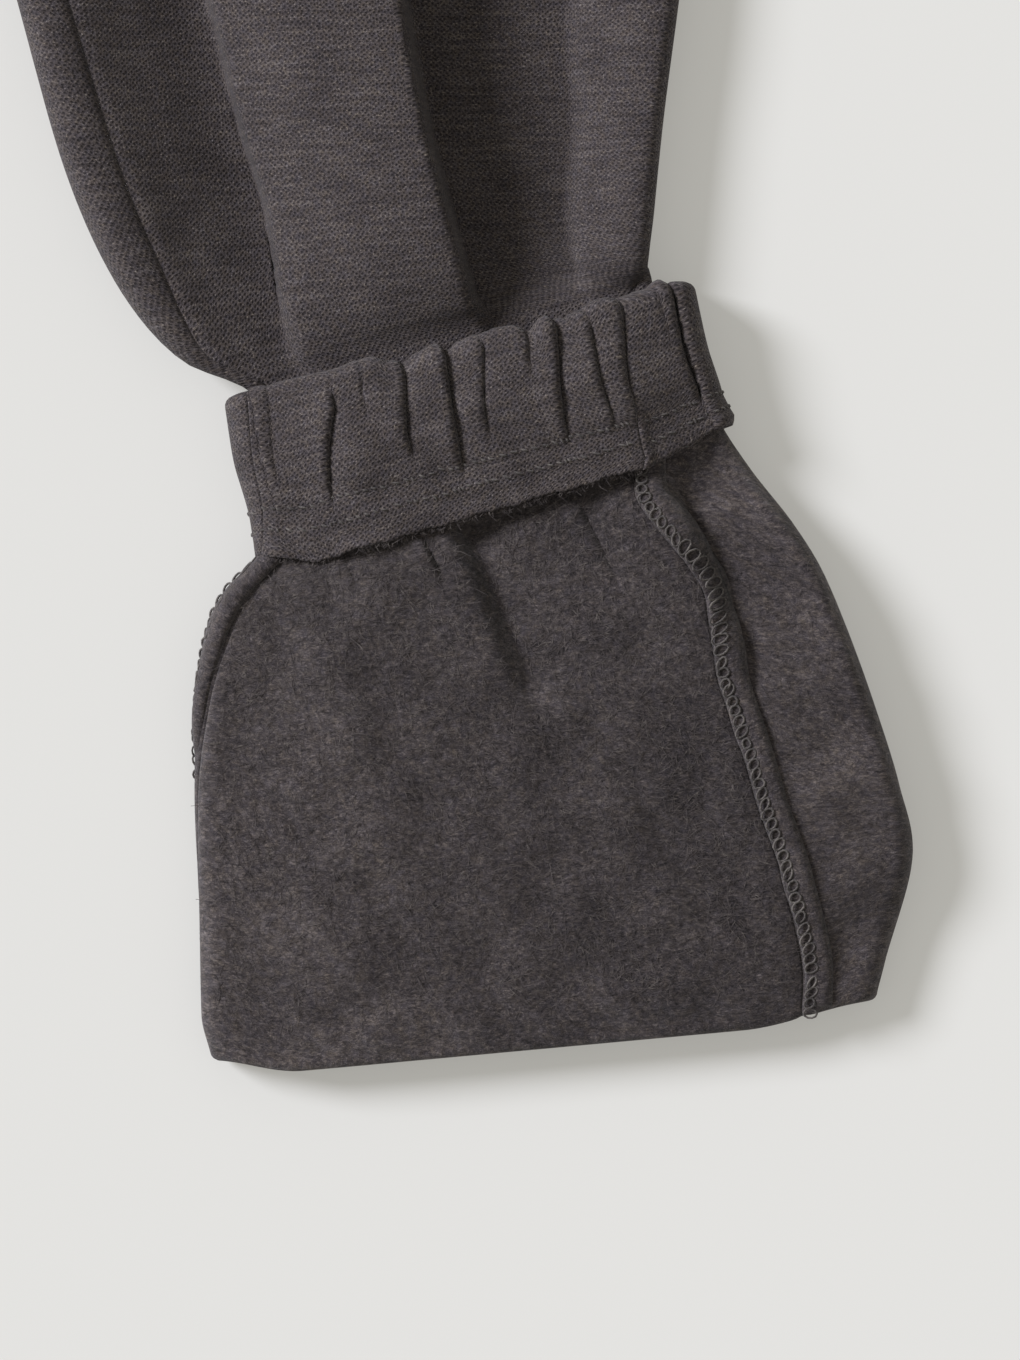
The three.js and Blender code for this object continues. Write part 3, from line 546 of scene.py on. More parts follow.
# Left back: the wider panel under the leg. Its edge rolls up over the front at the inseam.
LEFT_BACK_FOLDS = (
    (6, -16, 66, -80, 1.2, 8),
    (40, 60, 130, 30, 1.0, 12),
    (230, 100, 170, 40, 1.0, 12),
    (110, -150, 130, -280, 1.1, 9),
    (210, -130, 190, -260, 1.2, 9),
    (140, -300, 165, -380, 1.4, 7),
    (215, -310, 205, -372, 1.2, 6),
)
points = np.array(left_leg.panel(left_leg.stations((11, 6), (18, 2.4), (27, 7)), "back", 110))
x, y = points[:, :, 0], points[:, :, 1]
outside = ease((y + 415) / 12)
under = ease((5 - points[:, :, 2]) / 2)
height = -under * outside * np.maximum(ridges(LEFT_BACK_FOLDS, x, y)
                                       + 0.4 * unevenness(x, y, 40, 4), 0)
left_back = cloth_piece("left_back", "back_left", relieved(points, height),
                        BOTH_SIDES)

# Turned-up hem of the left leg: the same two panels double back over themselves at the bottom
# fold, brushed side out, and again at the top of the elastic casing, where the hem allowance
# comes back face side out. The elastic gathers both layers.
TURN_UP = (
    (137.4, -560.8, 291.8, -546.6, 0, 10.6, 10.6, 5, 5, 11.8, 4, 0, 17, 0, 0),
    (135.4, -552.5, 293.6, -539.6, 0, 11.4, 10.6, 5.4, 5.4, 13.6, 4, 0, 18.5, 0, 0),
    (134.9, -527.6, 299.9, -514.1, 0, 12, 13.6, 5.6, 3.6, 15.6, 3, 0, 30, 0, 0),
    (134.1, -500.3, 296.7, -499.1, 0, 12.4, 15, 5.6, 3.4, 16.8, 1, 0.6, 33, 0, 0),
    (134.8, -479.6, 289.8, -477.3, 0, 13, 15.8, 5.6, 3.4, 17.8, 0, 2.6, 33.4, 0, 0.1),
    (137.1, -465.3, 283.4, -460.1, 0, 13.6, 15.8, 5.6, 3.4, 18.2, 0.6, 4.6, 30, 0, 0.5),
    (138.7, -459.6, 278.6, -449.2, 0.1, 13.8, 15.8, 5.5, 3.4, 18.2, 1, 5.4, 27.6, 0, 0.6),
    (141.4, -455, 272.6, -439.6, 0.4, 14, 15.4, 5.4, 3.6, 18.2, 1.6, 6, 27.8, 0, 0.6),
    (145.6, -451, 262.4, -426.4, 1.2, 13.6, 13.6, 4.6, 4.6, 17.4, 2, 6, 26.2, 0, 0.5),
    (149.6, -446, 255.6, -415.8, 2.6, 13.6, 13.6, 3.8, 3.8, 16.6, 2, 5, 20, 0, 0.4),
    (149.3, -435, 252.9, -408.2, 2.7, 13.8, 13.8, 3.8, 3.8, 16.4, 1, 5, 18, 0, 0.3),
    (145.8, -424, 249.9, -398.6, 3.1, 14, 14, 3.8, 3.8, 16.6, 0.4, 5, 16, 0, 0.35),
    (143.9, -412, 247.5, -386.8, 3.3, 13.9, 13.9, 3.7, 3.7, 17.4, 0, 5, 14, 0, 0.5),
)
ALLOWANCE = (
    (141.4, -412.7, 250, -386.2, 0, 17, 17, 6.2, 3.6, 21.6, 0, 4.8, 16.4, 0, 1),
    (143.2, -424.4, 252.5, -397.9, 0, 17.2, 17.2, 6.2, 3.6, 22.6, 1.1, 4, 18.4, 0, 1),
    (146, -434, 255.2, -406.2, 0, 16.9, 16.9, 6.2, 3.6, 21.9, 2, 3.3, 20, 0, 0.7),
    (146.9, -437.6, 256.2, -409.4, 0, 16.5, 16.5, 6.2, 3.6, 21.1, 2.5, 2.9, 20.4, 0, 0.25),
    (147.3, -440.1, 257, -411, 0, 16.6, 16.6, 6.2, 3.6, 21.1, 3, 2.5, 20.9, 0, 0.15),
    (147.7, -442.6, 257.8, -412.6, 0, 16.3, 16.3, 6.2, 3.6, 20.7, 3.6, 2.1, 21.4, 0, 0.1),
    (148, -444.8, 258.7, -414, 0, 16.3, 16.3, 6.2, 3.6, 20.6, 4.1, 1.6, 21.9, 0, 0.04),
    (148.3, -447, 258.3, -415.6, 0, 16.2, 16.2, 6.2, 3.6, 20.4, 4.6, 1.2, 22.4, 0, 0),
)
# Gathers of the casing: distance from its left edge at the gather's top and foot, how far down
# the casing the top and the foot are, its depth and its width
GATHERS = (
    (10.2, 9.0, -3, 14, 0.6, 3.4),
    (24.9, 19.2, 6, 22, 2.3, 2.6),
    (33.6, 32.0, -4, 3, 0.6, 2.4),
    (41.6, 40.2, -3, 14, 2.0, 2.2),
    (52.2, 50.2, -3, 22, 2.8, 2.3),
    (60.4, 58.4, 0, 15, 1.1, 2.4),
    (71.8, 70.4, -4, 3, 0.9, 2.2),
    (78.1, 75.4, -2, 20, 2.6, 2.4),
    (85.4, 86.4, 4, 21, 1.6, 2.2),
    (93.0, 91.8, -1, 20, 1.2, 2.4),
    (102.4, 103.2, -3, 6, 0.7, 2.4),
    (105.3, 106.9, -5, 22, 3.2, 3.4),
)
# How far the casing's folded edge dips, at a distance from its left end
FOLD_LINE = (
    (0, 1.5), (2.2, 0.1), (4.9, -0.35), (16.2, 0.14), (26.8, 0.64), (34.9, -0.23), (39.5, 2.0),
    (43, 2.46), (51.3, 0.92), (54.5, 2.05), (62.8, 0.5), (69, 0.76), (72.9, 2.8), (77.8, 0.58),
    (82.7, 1.9),
    (90.5, -0.28), (94.7, -0.07), (101.9, -0.23), (105.1, -1.8), (109, -0.4), (112.3, 1.6),
)
# Soft troughs in the turn-up: from one end to the other in X and Y, depth and width
TROUGHS = (
    (193, -436, 210.5, -480, 4.8, 16),
    (247.5, -427, 264, -472, 4.6, 12),
    (164, -444, 168, -456, 0.9, 3.5),
    (184.6, -441, 188.4, -451, 1.5, 3.2),
    (224, -432, 232, -452, 1.2, 5),
    (150, -505, 172, -541, 0.9, 14),
    (232, -494, 256, -532, 1.2, 14),
)
CASING_FOLD = -412.7
CASING_RUN = np.array([0.264, -0.9645])
CASING_SPAN = (7.2, 100.4)


def drop(off):
    """Cloth that swells to a lip, drops sharply at 0 and rises softly again over 1 or 2."""
    fall = ease((off + 0.3) / 0.46)
    lip = -0.2 * np.exp(-((off + 0.35) / 1.1) ** 2)
    return lip * (1 - fall) + fall * np.exp(-np.maximum(off, 0) ** 1.15)


def creases(across, down):
    """Depth of the casing's gathers."""
    total = np.zeros(np.shape(across))
    for top_at, foot_at, top, foot, depth, width in GATHERS:
        along = np.clip((down - top) / (foot - top), 0, 1)
        sway = 0.3 * np.sin(down * 0.2 + top_at)
        off = (across + sway - top_at - (foot_at - top_at) * along) / width
        length = ease((down - top) / 7 + 1) * ease((foot - down) / 9 + 1)
        total += depth * length * drop(off)
    return total


def casing_place(section, e):
    """Distances in millimetres across the casing from its left edge, and down from its fold."""
    _, _, top, _ = girth(section)
    return CLOTH / 2 + section.roll_l + top * e, (section.ly - CASING_FOLD) / CASING_RUN[1]


def casing_top(section, e):
    across, down = casing_place(section, e)
    width = math.hypot(section.rx - section.lx, section.ry - section.ly)
    step = 0.9 * ease((across - width + section.outseam) / 1.4) * ease((down - 17) / 7)
    return plain_top(section, e) + section.gather * (0.8 - creases(across, down)) - step


def troughs(x, y):
    total = np.zeros(np.shape(x))
    for x1, y1, x2, y2, depth, width in TROUGHS:
        dx, dy = x2 - x1, y2 - y1
        along = ((x - x1) * dx + (y - y1) * dy) / (dx * dx + dy * dy)
        off = ((x - x1) * dy - (y - y1) * dx) / math.hypot(dx, dy) / width
        fade = ease((along + 0.15) / 0.3) * ease((1.25 - along) / 0.7)
        total += depth * fade * drop(-off)
    return total


def turn_up_top(section, e):
    x = section.lx + (section.rx - section.lx) * e
    y = section.ly + (section.ry - section.ly) * e
    across, down = casing_place(section, e)
    hidden = section.gather * creases(across, down) if section.ly > -452 else 0
    gathered = plain_top(section, e) - hidden
    return gathered - troughs(x, y) * (1 if section.base < 2 else 0.4)


fold_line = smooth_curve(*zip(*FOLD_LINE))


def scalloped(fade, ragged=lambda s: 0):
    """Dips the casing's folded edge between its gathers, and frays a raw edge."""
    def shift(points, s, h):
        across = CASING_SPAN[0] + CASING_SPAN[1] * across_of(h)
        fray = (0.22 * np.sin(across * 0.43 + 1) + 0.14 * np.sin(across * 1.07)
                + 0.1 * np.sin(across * 2.3 + 2) + 0.07 * np.sin(across * 5.1))
        points[:, :2] += np.outer(fold_line(across) * fade(s) + fray * ragged(s), CASING_RUN)
        return points
    return shift


turn_up = Stretch(TURN_UP, turn_up_top)
turn_up.shift = scalloped(lambda s: ease((s - turn_up.end + 9) / 9))
allowance = Stretch(ALLOWANCE, casing_top)
allowance.shift = scalloped(lambda s: ease((11 - s) / 11),
                            lambda s: ease((s - allowance.end + 4) / 4))


def turned_hem(side, columns, up, hem, crumple):
    """Rows of a panel from the bottom fold to the raw edge, and the first row that turns back."""
    rows = [left_leg.point(left_leg.end, left_leg.places(left_leg.end, side, columns))]
    rows += fold_over(left_leg, turn_up, 1, side, columns)
    plain = len(rows) + 1
    rows += turn_up.panel(turn_up.stations((7, up), (9, 0.8), (12, 3)), side, columns)
    start = len(rows)
    rows += fold_over(turn_up, allowance, -1, side, columns)
    rows += allowance.panel(allowance.stations((7, hem)), side, columns)
    points = np.array(rows)
    x, y = points[:, :, 0], points[:, :, 1]
    level = ease((np.abs(normals_of(points)[:, :, 2]) - 0.45) / 0.5)
    height = level * (0.6 * unevenness(x, y, 21, 6) + 0.22 * unevenness(x, y, 8, 7))
    height[:plain] = 0
    height[start:] = crumple(level[start:], height[start:], x[start:], y[start:])
    face_up = np.where(np.arange(len(points)) < start, -1, 1)[:, None]
    return relieved(points, height, np.where(face_up > 0, 0.1, 0.4), face_up), start


front_hem, front_start = turned_hem(
    "front", 170, 1.2, 0.62, lambda level, height, x, y: level * 0.4 * unevenness(x, y, 9, 8))
left_front_turn_up = cloth_piece("left_front_turn_up", "front_left", front_hem,
                                 BOTH_SIDES)
back_hem, back_start = turned_hem(
    "back", 190, 2.2, 1.1, lambda level, height, x, y: height * 0.25)
left_back_turn_up = cloth_piece("left_back_turn_up", "back_left", back_hem,
                                BOTH_SIDES)

# The side seams show where the leg is inside out: each allowance is two cloths overlocked
# together, pressed over to one side, with loops of thread wrapped round its cut edge.
STITCH = 2.45
THREAD = 0.27
# How far the cut edge, the smooth back and the seam line lie from the seam, and their height
ALLOWANCE_SHAPE = ((-1.4, -0.6), (-1.45, 0.3), (-1.0, 0.7), (0.6, 0.8), (1.5, 1.2), (2.6, 1.6),
                   (3.9, 1.5), (5.0, 0.8), (5.6, -0.7), (2.0, -1.2))


def sampler(i, j):
    """A function that reads a grid of vectors at fractional rows and columns."""
    i0, j0 = i.astype(int), j.astype(int)
    a, b = (i - i0)[..., None], (j - j0)[..., None]

    def read(grid):
        near = grid[i0, j0] * (1 - b) + grid[i0, j0 + 1] * b
        far = grid[i0 + 1, j0] * (1 - b) + grid[i0 + 1, j0 + 1] * b
        return near * (1 - a) + far * a

    return read


class Ribbon:
    """Cloth under a line of sewing: points and outward normals at a distance along the line and
    one square to it from the grid's middle column, raised above the cloth."""

    def __init__(self, points, outward):
        self.points, self.outward = points, outward
        centre = points.shape[1] // 2
        middle = points[:, centre]
        steps = np.linalg.norm(np.diff(middle, axis=0), axis=1)
        self.along = np.concatenate([[0], np.cumsum(steps)])
        row = points[len(points) // 2]
        steps = np.linalg.norm(np.diff(row, axis=0), axis=1)
        across = np.concatenate([[0], np.cumsum(steps)])
        self.across, self.length = across - across[centre], self.along[-1]
        run = np.gradient(middle, axis=0)
        aside = points[:, centre + 2] - points[:, centre - 2]
        lean = np.sum(run * aside, axis=1)
        lean /= np.linalg.norm(run, axis=1) * np.linalg.norm(aside, axis=1)
        ends = np.pad(lean, 8, mode="edge")
        self.lean = np.convolve(ends, np.ones(17) / 17, mode="valid")

    def at(self, along, across, lift):
        along = np.asarray(along, float)
        lean = np.interp(along, self.along, self.lean)
        square = np.sqrt(1 - lean ** 2)
        along, across = along - across * lean / square, across / square
        i = np.interp(along, self.along, np.arange(len(self.along)))
        j = np.interp(across, self.across, np.arange(len(self.across)))
        rows, columns = self.points.shape[:2]
        read = sampler(np.minimum(i, rows - 1 - 1e-9), np.minimum(j, columns - 1 - 1e-9))
        start = self.points[2, 0] - self.points[0, 0]
        before = np.minimum(along, 0)[..., None] * start / np.linalg.norm(start)
        return read(self.points) + read(self.outward) * np.asarray(lift)[..., None] + before


def thread(name, lines, finish, radius=THREAD):
    """Sewing thread: every line of points becomes a round thread."""
    curve = bpy.data.curves.new(name, "CURVE")
    curve.dimensions = "3D"
    curve.bevel_depth = radius / 1000
    curve.bevel_resolution = 0
    curve.use_fill_caps = True
    for line in lines:
        spline = curve.splines.new("POLY")
        spline.points.add(len(line) - 1)
        placed = np.concatenate([(line + SHIFT) / 1000, np.ones((len(line), 1))], axis=1)
        spline.points.foreach_set("co", placed.astype(np.float32).ravel())
    curve.materials.append(finish)
    return placed_piece(name, curve)


def overlock(name, ribbon, edge, needle, finish, seed, height):
    """Loops over a cut edge: a chain of slanting rings, each pulled against the next."""
    random = np.random.default_rng(seed)
    count = int(ribbon.length / STITCH)
    step = ribbon.length / count
    turn = np.linspace(0, 2 * np.pi, 11)
    half = (needle - edge) / 2
    lines = []
    for k in range(-1, count):
        slip, wide, lean, drift = random.normal(0, (0.1, 0.1, 0.25, 0.12), 4)
        across = (edge + needle) / 2 + drift - half * (1 + wide) * np.cos(turn)
        along = (k + 0.5 + slip) * step + 0.46 * step * np.sin(turn) - (0.4 + lean) * np.cos(turn)
        rise = 0.14 * np.sin(2 * turn + 1) + 0.1 * np.sin(turn + 5 * lean)
        lines.append(ribbon.at(along, across, height + rise))
    return thread(name, lines, finish)


material, look = new_finish("spun_thread")
place = look.node("ShaderNodeTexCoord", {}, {}, "Object")
twist = look.noise(place, 2400, 2, 0.6)
slub = look.noise(place, 260, 2, 0.5)
tone = 0.5 + (twist - 0.5) * 1.2 + (slub - 0.5) * 1.0
thread_colour = look.node("ShaderNodeValToRGB", {"stops": (
    (0.15, (0.034, 0.030, 0.030)), (0.5, (0.088, 0.078, 0.074)), (1.0, (0.21, 0.189, 0.172)))},
    {0: tone})
shader = look.node("ShaderNodeBsdfPrincipled", {}, {
    "Base Color": thread_colour, "Roughness": 0.85, "Specular IOR Level": 0.25,
    "Sheen Weight": 0.15})
look.node("ShaderNodeOutputMaterial", {}, {0: shader})
spun_thread = material


def seam_ribbon(side_of_seam, start, end):
    """The turn-up's cloth beside a side seam, from the bottom fold to the hem."""
    stations = np.arange(start, end, 0.6)
    across = np.linspace(-12, 12, 61)
    rows = []
    for s in stations:
        section = turn_up.section(s)
        _, left, top, right = girth(section)
        inner, outer, _ = seam_places(section)
        distance = (outer if side_of_seam == "outseam" else inner) + across
        sums = np.cumsum([0] + [left, top, right, right, top, left] * 2)
        around = sums[6]
        h = np.interp(distance % around, sums, np.arange(13))
        rows.append(turn_up.point(s, h))
    points = np.array(rows)
    outward = -normals_of(points)
    return Ribbon(points + outward * CLOTH / 2, outward)


def seam_allowance(name, ribbon, middle, finish, sink=0.01):
    """Two overlocked cloths pressed flat beside the seam, as a closed strip that sinks out of
    sight at its start."""
    shape = np.array(ALLOWANCE_SHAPE + ALLOWANCE_SHAPE[:1])
    along = np.linspace(0, ribbon.length, int(ribbon.length / 0.9))
    sway = 0.25 * np.sin(along / 6.1) + 0.2 * np.sin(along / 2.9 + 1)
    across = middle + shape[None, :, 0] + np.where(shape[None, :, 0] < 0, sway[:, None], 0)
    lift = shape[None, :, 1] * (1 + 0.12 * np.sin(along / 4.3)[:, None])
    lift = lift - 1.9 * (1 - ease(along / sink))[:, None]
    points = ribbon.at(along[:, None] + 0 * across, across, lift)
    bm = bmesh.new()
    rows, columns = points.shape[:2]
    bmesh.ops.create_grid(bm, x_segments=columns - 1, y_segments=rows - 1, size=0.5)
    grain = grain_of(points).reshape(-1, 2)
    flat = ((points + SHIFT) / 1000).reshape(-1, 3)
    layer = bm.loops.layers.uv.new("grain")
    for vertex in bm.verts:
        vertex.co = flat[vertex.index]
        for loop in vertex.link_loops:
            loop[layer].uv = grain[vertex.index]
    bmesh.ops.remove_doubles(bm, verts=bm.verts, dist=1e-7)
    bmesh.ops.holes_fill(bm, edges=bm.edges, sides=len(ALLOWANCE_SHAPE) + 2)
    bmesh.ops.recalc_face_normals(bm, faces=bm.faces)
    mesh = bpy.data.meshes.new(name)
    bm.to_mesh(mesh)
    bm.free()
    mesh.shade_smooth()
    mesh.materials.append(finish)
    return placed_piece(name, mesh)


outseam = seam_ribbon("outseam", 0.5, turn_up.end - 22)
seam_allowance("outseam_allowance", outseam, 1.6, brushed_fleece)
overlock("outseam_overlock", outseam, 0.2, 2.9, spun_thread, 21, 1.15)
inseam = seam_ribbon("inseam", 58, turn_up.end - 24)
seam_allowance("inseam_allowance", inseam, -6.2, brushed_fleece, 16)
overlock("inseam_overlock", inseam, -8.0, -5.4, spun_thread, 22, 0.75)

# Two rows of stitching hold the hem allowance down and close the elastic in: each stitch lies a
# little aslant, with its ends pulled into the knit
ROW_STITCH = 2.4
ROWS_DOWN = (25.8, 31.0)


def stitch_rows(name, points, rows_down, finish, seed):
    """Rows of stitching across a panel, at those distances down it."""
    outward = normals_of(points)
    cloth = np.transpose(points + outward * CLOTH / 2, (1, 0, 2))
    ribbon = Ribbon(cloth, np.transpose(outward, (1, 0, 2)))
    top_edge = -ribbon.across[0]
    random = np.random.default_rng(seed)
    lines = []
    for down in np.array(rows_down) - top_edge:
        for k in range(int(ribbon.length / ROW_STITCH)):
            slip, tilt = random.normal(0, (0.12, 0.12), 2)
            run = np.array([0.1, 0.3, 0.5, 0.7]) * ROW_STITCH
            across = down + slip + (0.4 + tilt) * np.array([-1, -0.4, 0.4, 1])
            lines.append(ribbon.at(k * ROW_STITCH + run, across, np.array([-0.2, 0.2, 0.2, -0.2])))
    return thread(name, lines, finish, 0.24)


stitch_rows("hem_rows_front", front_hem[front_start + TURN_ROWS:], ROWS_DOWN, spun_thread, 31)
stitch_rows("hem_rows_back", back_hem[back_start + TURN_ROWS:], ROWS_DOWN, spun_thread, 32)


# Nap: loose fibres of the brushed back, lying every way and standing a little off the cloth, and
# those that the raw edge sheds. Each is a flat ribbon of three lengths.
material, look = new_finish("loose_fibre")
place = look.node("ShaderNodeTexCoord", {}, {}, "Object")
tone = 0.5 + (look.noise(place, 700, 2, 0.6) - 0.5) * 1.6
fibre_colour = look.node("ShaderNodeValToRGB", {"stops": (
    (0.2, (0.030, 0.026, 0.027)), (0.5, (0.074, 0.064, 0.064)), (0.9, (0.17, 0.149, 0.137)))},
    {0: tone})
shader = look.node("ShaderNodeBsdfPrincipled", {}, {
    "Base Color": fibre_colour, "Roughness": 0.9, "Specular IOR Level": 0.15})
look.node("ShaderNodeOutputMaterial", {}, {0: shader})
loose_fibre = material


def nap(name, points, outward, count, seed, length, rise, edge_only=False):
    """Fibres at random places of a panel, or all along its last row."""
    random = np.random.default_rng(seed)
    rows, columns = points.shape[:2]
    down = np.linalg.norm(np.diff(points[:, columns // 2], axis=0), axis=1)
    sums = np.concatenate([[0], np.cumsum(down)]) / down.sum()
    place = np.interp(random.uniform(0, 1, count), sums, np.arange(rows))
    i = np.full(count, rows - 1.001) if edge_only else np.clip(place, 0, rows - 1.001)
    j = random.uniform(0, columns - 1.001, count)
    read = sampler(i, j)
    root, up = read(points + outward * CLOTH / 2), read(outward)
    up /= np.linalg.norm(up, axis=1, keepdims=True)
    lie = random.normal(0, 1, (count, 3))
    if edge_only:
        lie = lie * 0.5 + read(np.gradient(points, axis=0)) * 3
        root -= up * random.uniform(0.2, 1.8, (count, 1))
    lie -= up * np.sum(lie * up, axis=1, keepdims=True)
    lie /= np.linalg.norm(lie, axis=1, keepdims=True)
    side = np.cross(up, lie)
    flat = 0.1 + 0.9 * ease((up[:, 2:] - 0.9) / 0.08)
    reach = random.uniform(*length, count)[:, None] * flat
    curl = random.normal(0, 0.8, (count, 1))
    height = np.abs(random.normal(0, rise, (count, 1))) * flat + 0.06
    half_width = random.uniform(0.03, 0.06, (count, 1))
    grid = np.empty((4, count, 2, 3))
    for k, t in enumerate(np.linspace(0, 1, 4)):
        lift = height * math.sin(math.pi * (0.1 + 0.6 * t)) - 0.12 * (t == 0)
        spine = root + lie * reach * t + side * reach * curl * t * t + up * lift
        spine[:, 2] = np.maximum(spine[:, 2], 0.15)
        across = side - lie * 2 * curl * t
        across /= np.linalg.norm(across, axis=1, keepdims=True)
        grid[k, :, 0] = spine - across * half_width
        grid[k, :, 1] = spine + across * half_width
    bm = bmesh.new()
    bmesh.ops.create_grid(bm, x_segments=2 * count - 1, y_segments=3, size=0.5)
    between = [face for face in bm.faces if face.index % (2 * count - 1) % 2]
    bmesh.ops.delete(bm, geom=between, context="FACES")
    mesh = bpy.data.meshes.new(name)
    bm.to_mesh(mesh)
    bm.free()
    placed = (grid.reshape(-1, 3) + SHIFT) / 1000
    mesh.vertices.foreach_set("co", placed.astype(np.float32).ravel())
    mesh.update()
    mesh.materials.append(loose_fibre)
    return placed_piece(name, mesh)


few = 1
# The brushed rows, clear of the bottom fold
front_turned, back_turned = front_hem[15:front_start], back_hem[13:back_start]
nap("front_nap", front_turned, -normals_of(front_turned), int(13000 * few), 41, (1.6, 4.6), 0.24)
nap("back_nap", back_turned, -normals_of(back_turned), int(2600 * few), 42, (1.6, 4.6), 0.24)
nap("raw_edge_front", front_hem, normals_of(front_hem), 420, 43, (0.5, 1.6), 0.2, True)
nap("raw_edge_back", back_hem, normals_of(back_hem), 300, 44, (0.5, 1.6), 0.2, True)

# Right leg: front and back panels of the same cut, with the elastic hem turned in as it is worn.
PLAIN_LEG = (
    (62.5, -210, 264, -210, 0, 7.4, 7.2, 3.2, 3, 5.6, 0, 7, 0, 0, 0),
    (84.5, -325, 263.5, -315, 0, 7.6, 7.4, 3.2, 3.2, 5.8, 0, 7, 0, 0, 0),
    (102, -440, 269, -420, 0, 8, 7.8, 3.4, 3.4, 6.2, 0, 7, 0, 0, 0),
    (118, -549, 277, -531, 0, 9, 8.6, 4, 4, 8, 0, 7, 0, 0, 0.1),
    (129, -614, 283.4, -596, 0, 10.6, 10.4, 4.8, 4.8, 10.6, 0, 6, 0, 0, 0.5),
    (135, -651.1, 286, -633.9, 0, 12.6, 12.4, 5.6, 5.6, 13.4, 0, 5, 0, 0, 1),
    (143.3, -680.3, 284.3, -664.3, 0, 14, 14, 6, 6, 16, 0, 4, 0, 0, 1.2),
    (158.4, -697.8, 273.6, -684.6, 0, 14.6, 14.6, 6, 6, 16.2, 0, 4, 0, 0, 0.9),
    (162.9, -715.3, 273.1, -702.7, 0, 14.8, 14.8, 6, 6, 16.6, 0, 4, 0, 0, 1.1),
    (163.4, -728.4, 275.6, -715.6, 0, 14.4, 14.4, 6, 6, 15.6, 0, 4, 0, 0, 0.7),
)
RIGHT_FRONT_FOLDS = (
    (6, -10, 66, -76, 2.1, 7),
    (12, 26, 88, 8, 1.5, 11),
    (110, 90, 200, 40, 1.4, 13),
    (64, 176, 110, 120, 1.3, 11),
    (240, 150, 196, 96, 1.5, 11),
    (262, -60, 216, -130, 1.7, 10),
    (86, -120, 128, -210, 1.3, 10),
    (92, -292, 178, -326, 2.3, 8),
    (108, -350, 196, -346, 1.9, 7),
    (252, -296, 196, -330, 2.0, 8),
    (256, -372, 214, -388, 1.4, 7),
    (176, -400, 196, -540, 1.8, 9),
    (236, -450, 228, -600, 1.9, 7),
    (132, -500, 150, -620, 1.6, 7),
    (160, -596, 168, -680, 2.0, 5),
    (192, -584, 196, -676, 2.4, 5),
    (224, -606, 222, -678, 1.8, 4.5),
    (254, -596, 246, -674, 2.3, 5),
)
RIGHT_BACK_FOLDS = (
    (8, -14, 70, -84, 1.2, 8),
    (50, 50, 140, 20, 1.0, 12),
    (236, 96, 180, 30, 1.0, 12),
    (96, -300, 176, -330, 1.3, 9),
    (250, -310, 190, -340, 1.2, 8),
    (170, -420, 190, -560, 1.2, 9),
    (236, -480, 230, -620, 1.2, 8),
)
hem_top = even_gathers(5)


def plain_leg_top(section, e):
    y = (section.ly + section.ry) / 2
    return (waist_top if y > -60 else hem_top)(section, e)


def one_layer_in(row):
    """The same section one layer of cloth further in."""
    section = SimpleNamespace(**dict(zip(COLUMNS, row)))
    length = math.hypot(section.rx - section.lx, section.ry - section.ly)
    ux, uy = (section.rx - section.lx) / length, (section.ry - section.ly) / length
    moved = dict(zip(COLUMNS, row))
    moved.update(lx=section.lx + ux * LAYER, ly=section.ly + uy * LAYER,
                 rx=section.rx - ux * LAYER, ry=section.ry - uy * LAYER,
                 base=section.base + LAYER)
    for name in ("shoulder_l", "shoulder_r", "roll_l", "roll_r", "crown", "inseam"):
        moved[name] -= LAYER
    return [moved[name] for name in COLUMNS]


right_leg = Stretch([*BODY, *PLAIN_LEG], plain_leg_top)
right_casing = Stretch([one_layer_in(row) for row in PLAIN_LEG[:-5:-1]], hem_top)


def right_panel(side, columns, body, hem):
    rows = right_leg.panel(right_leg.stations((12, body), (18, hem)), side, columns)
    rows += fold_over(right_leg, right_casing, 1, side, columns)
    rows += right_casing.panel(right_casing.stations((2, 3)), side, columns)
    return np.array(rows)


points = right_panel("front", 100, 4.5, 1.9)
x, y = points[:, :, 0], points[:, :, 1]
folded = np.arange(len(points)) > len(right_leg.stations((12, 4.5), (18, 1.9))) - TURN_ROWS - 1
height = ridges(RIGHT_FRONT_FOLDS, x, y) + 0.45 * unevenness(x, y, 44, 11)
height[folded] = 0
right_front = cloth_piece("right_front", "front_right", relieved(points, height),
                          BOTH_SIDES, True)

points = right_panel("back", 80, 6, 3)
x, y = points[:, :, 0], points[:, :, 1]
folded = np.arange(len(points)) > len(right_leg.stations((12, 6), (18, 3))) - 6
under = ease((5 - points[:, :, 2]) / 2)
height = -under * np.maximum(ridges(RIGHT_BACK_FOLDS, x, y) + 0.4 * unevenness(x, y, 40, 12), 0)
height[folded] = 0
right_back = cloth_piece("right_back", "back_right", relieved(points, height),
                         BOTH_SIDES, True)

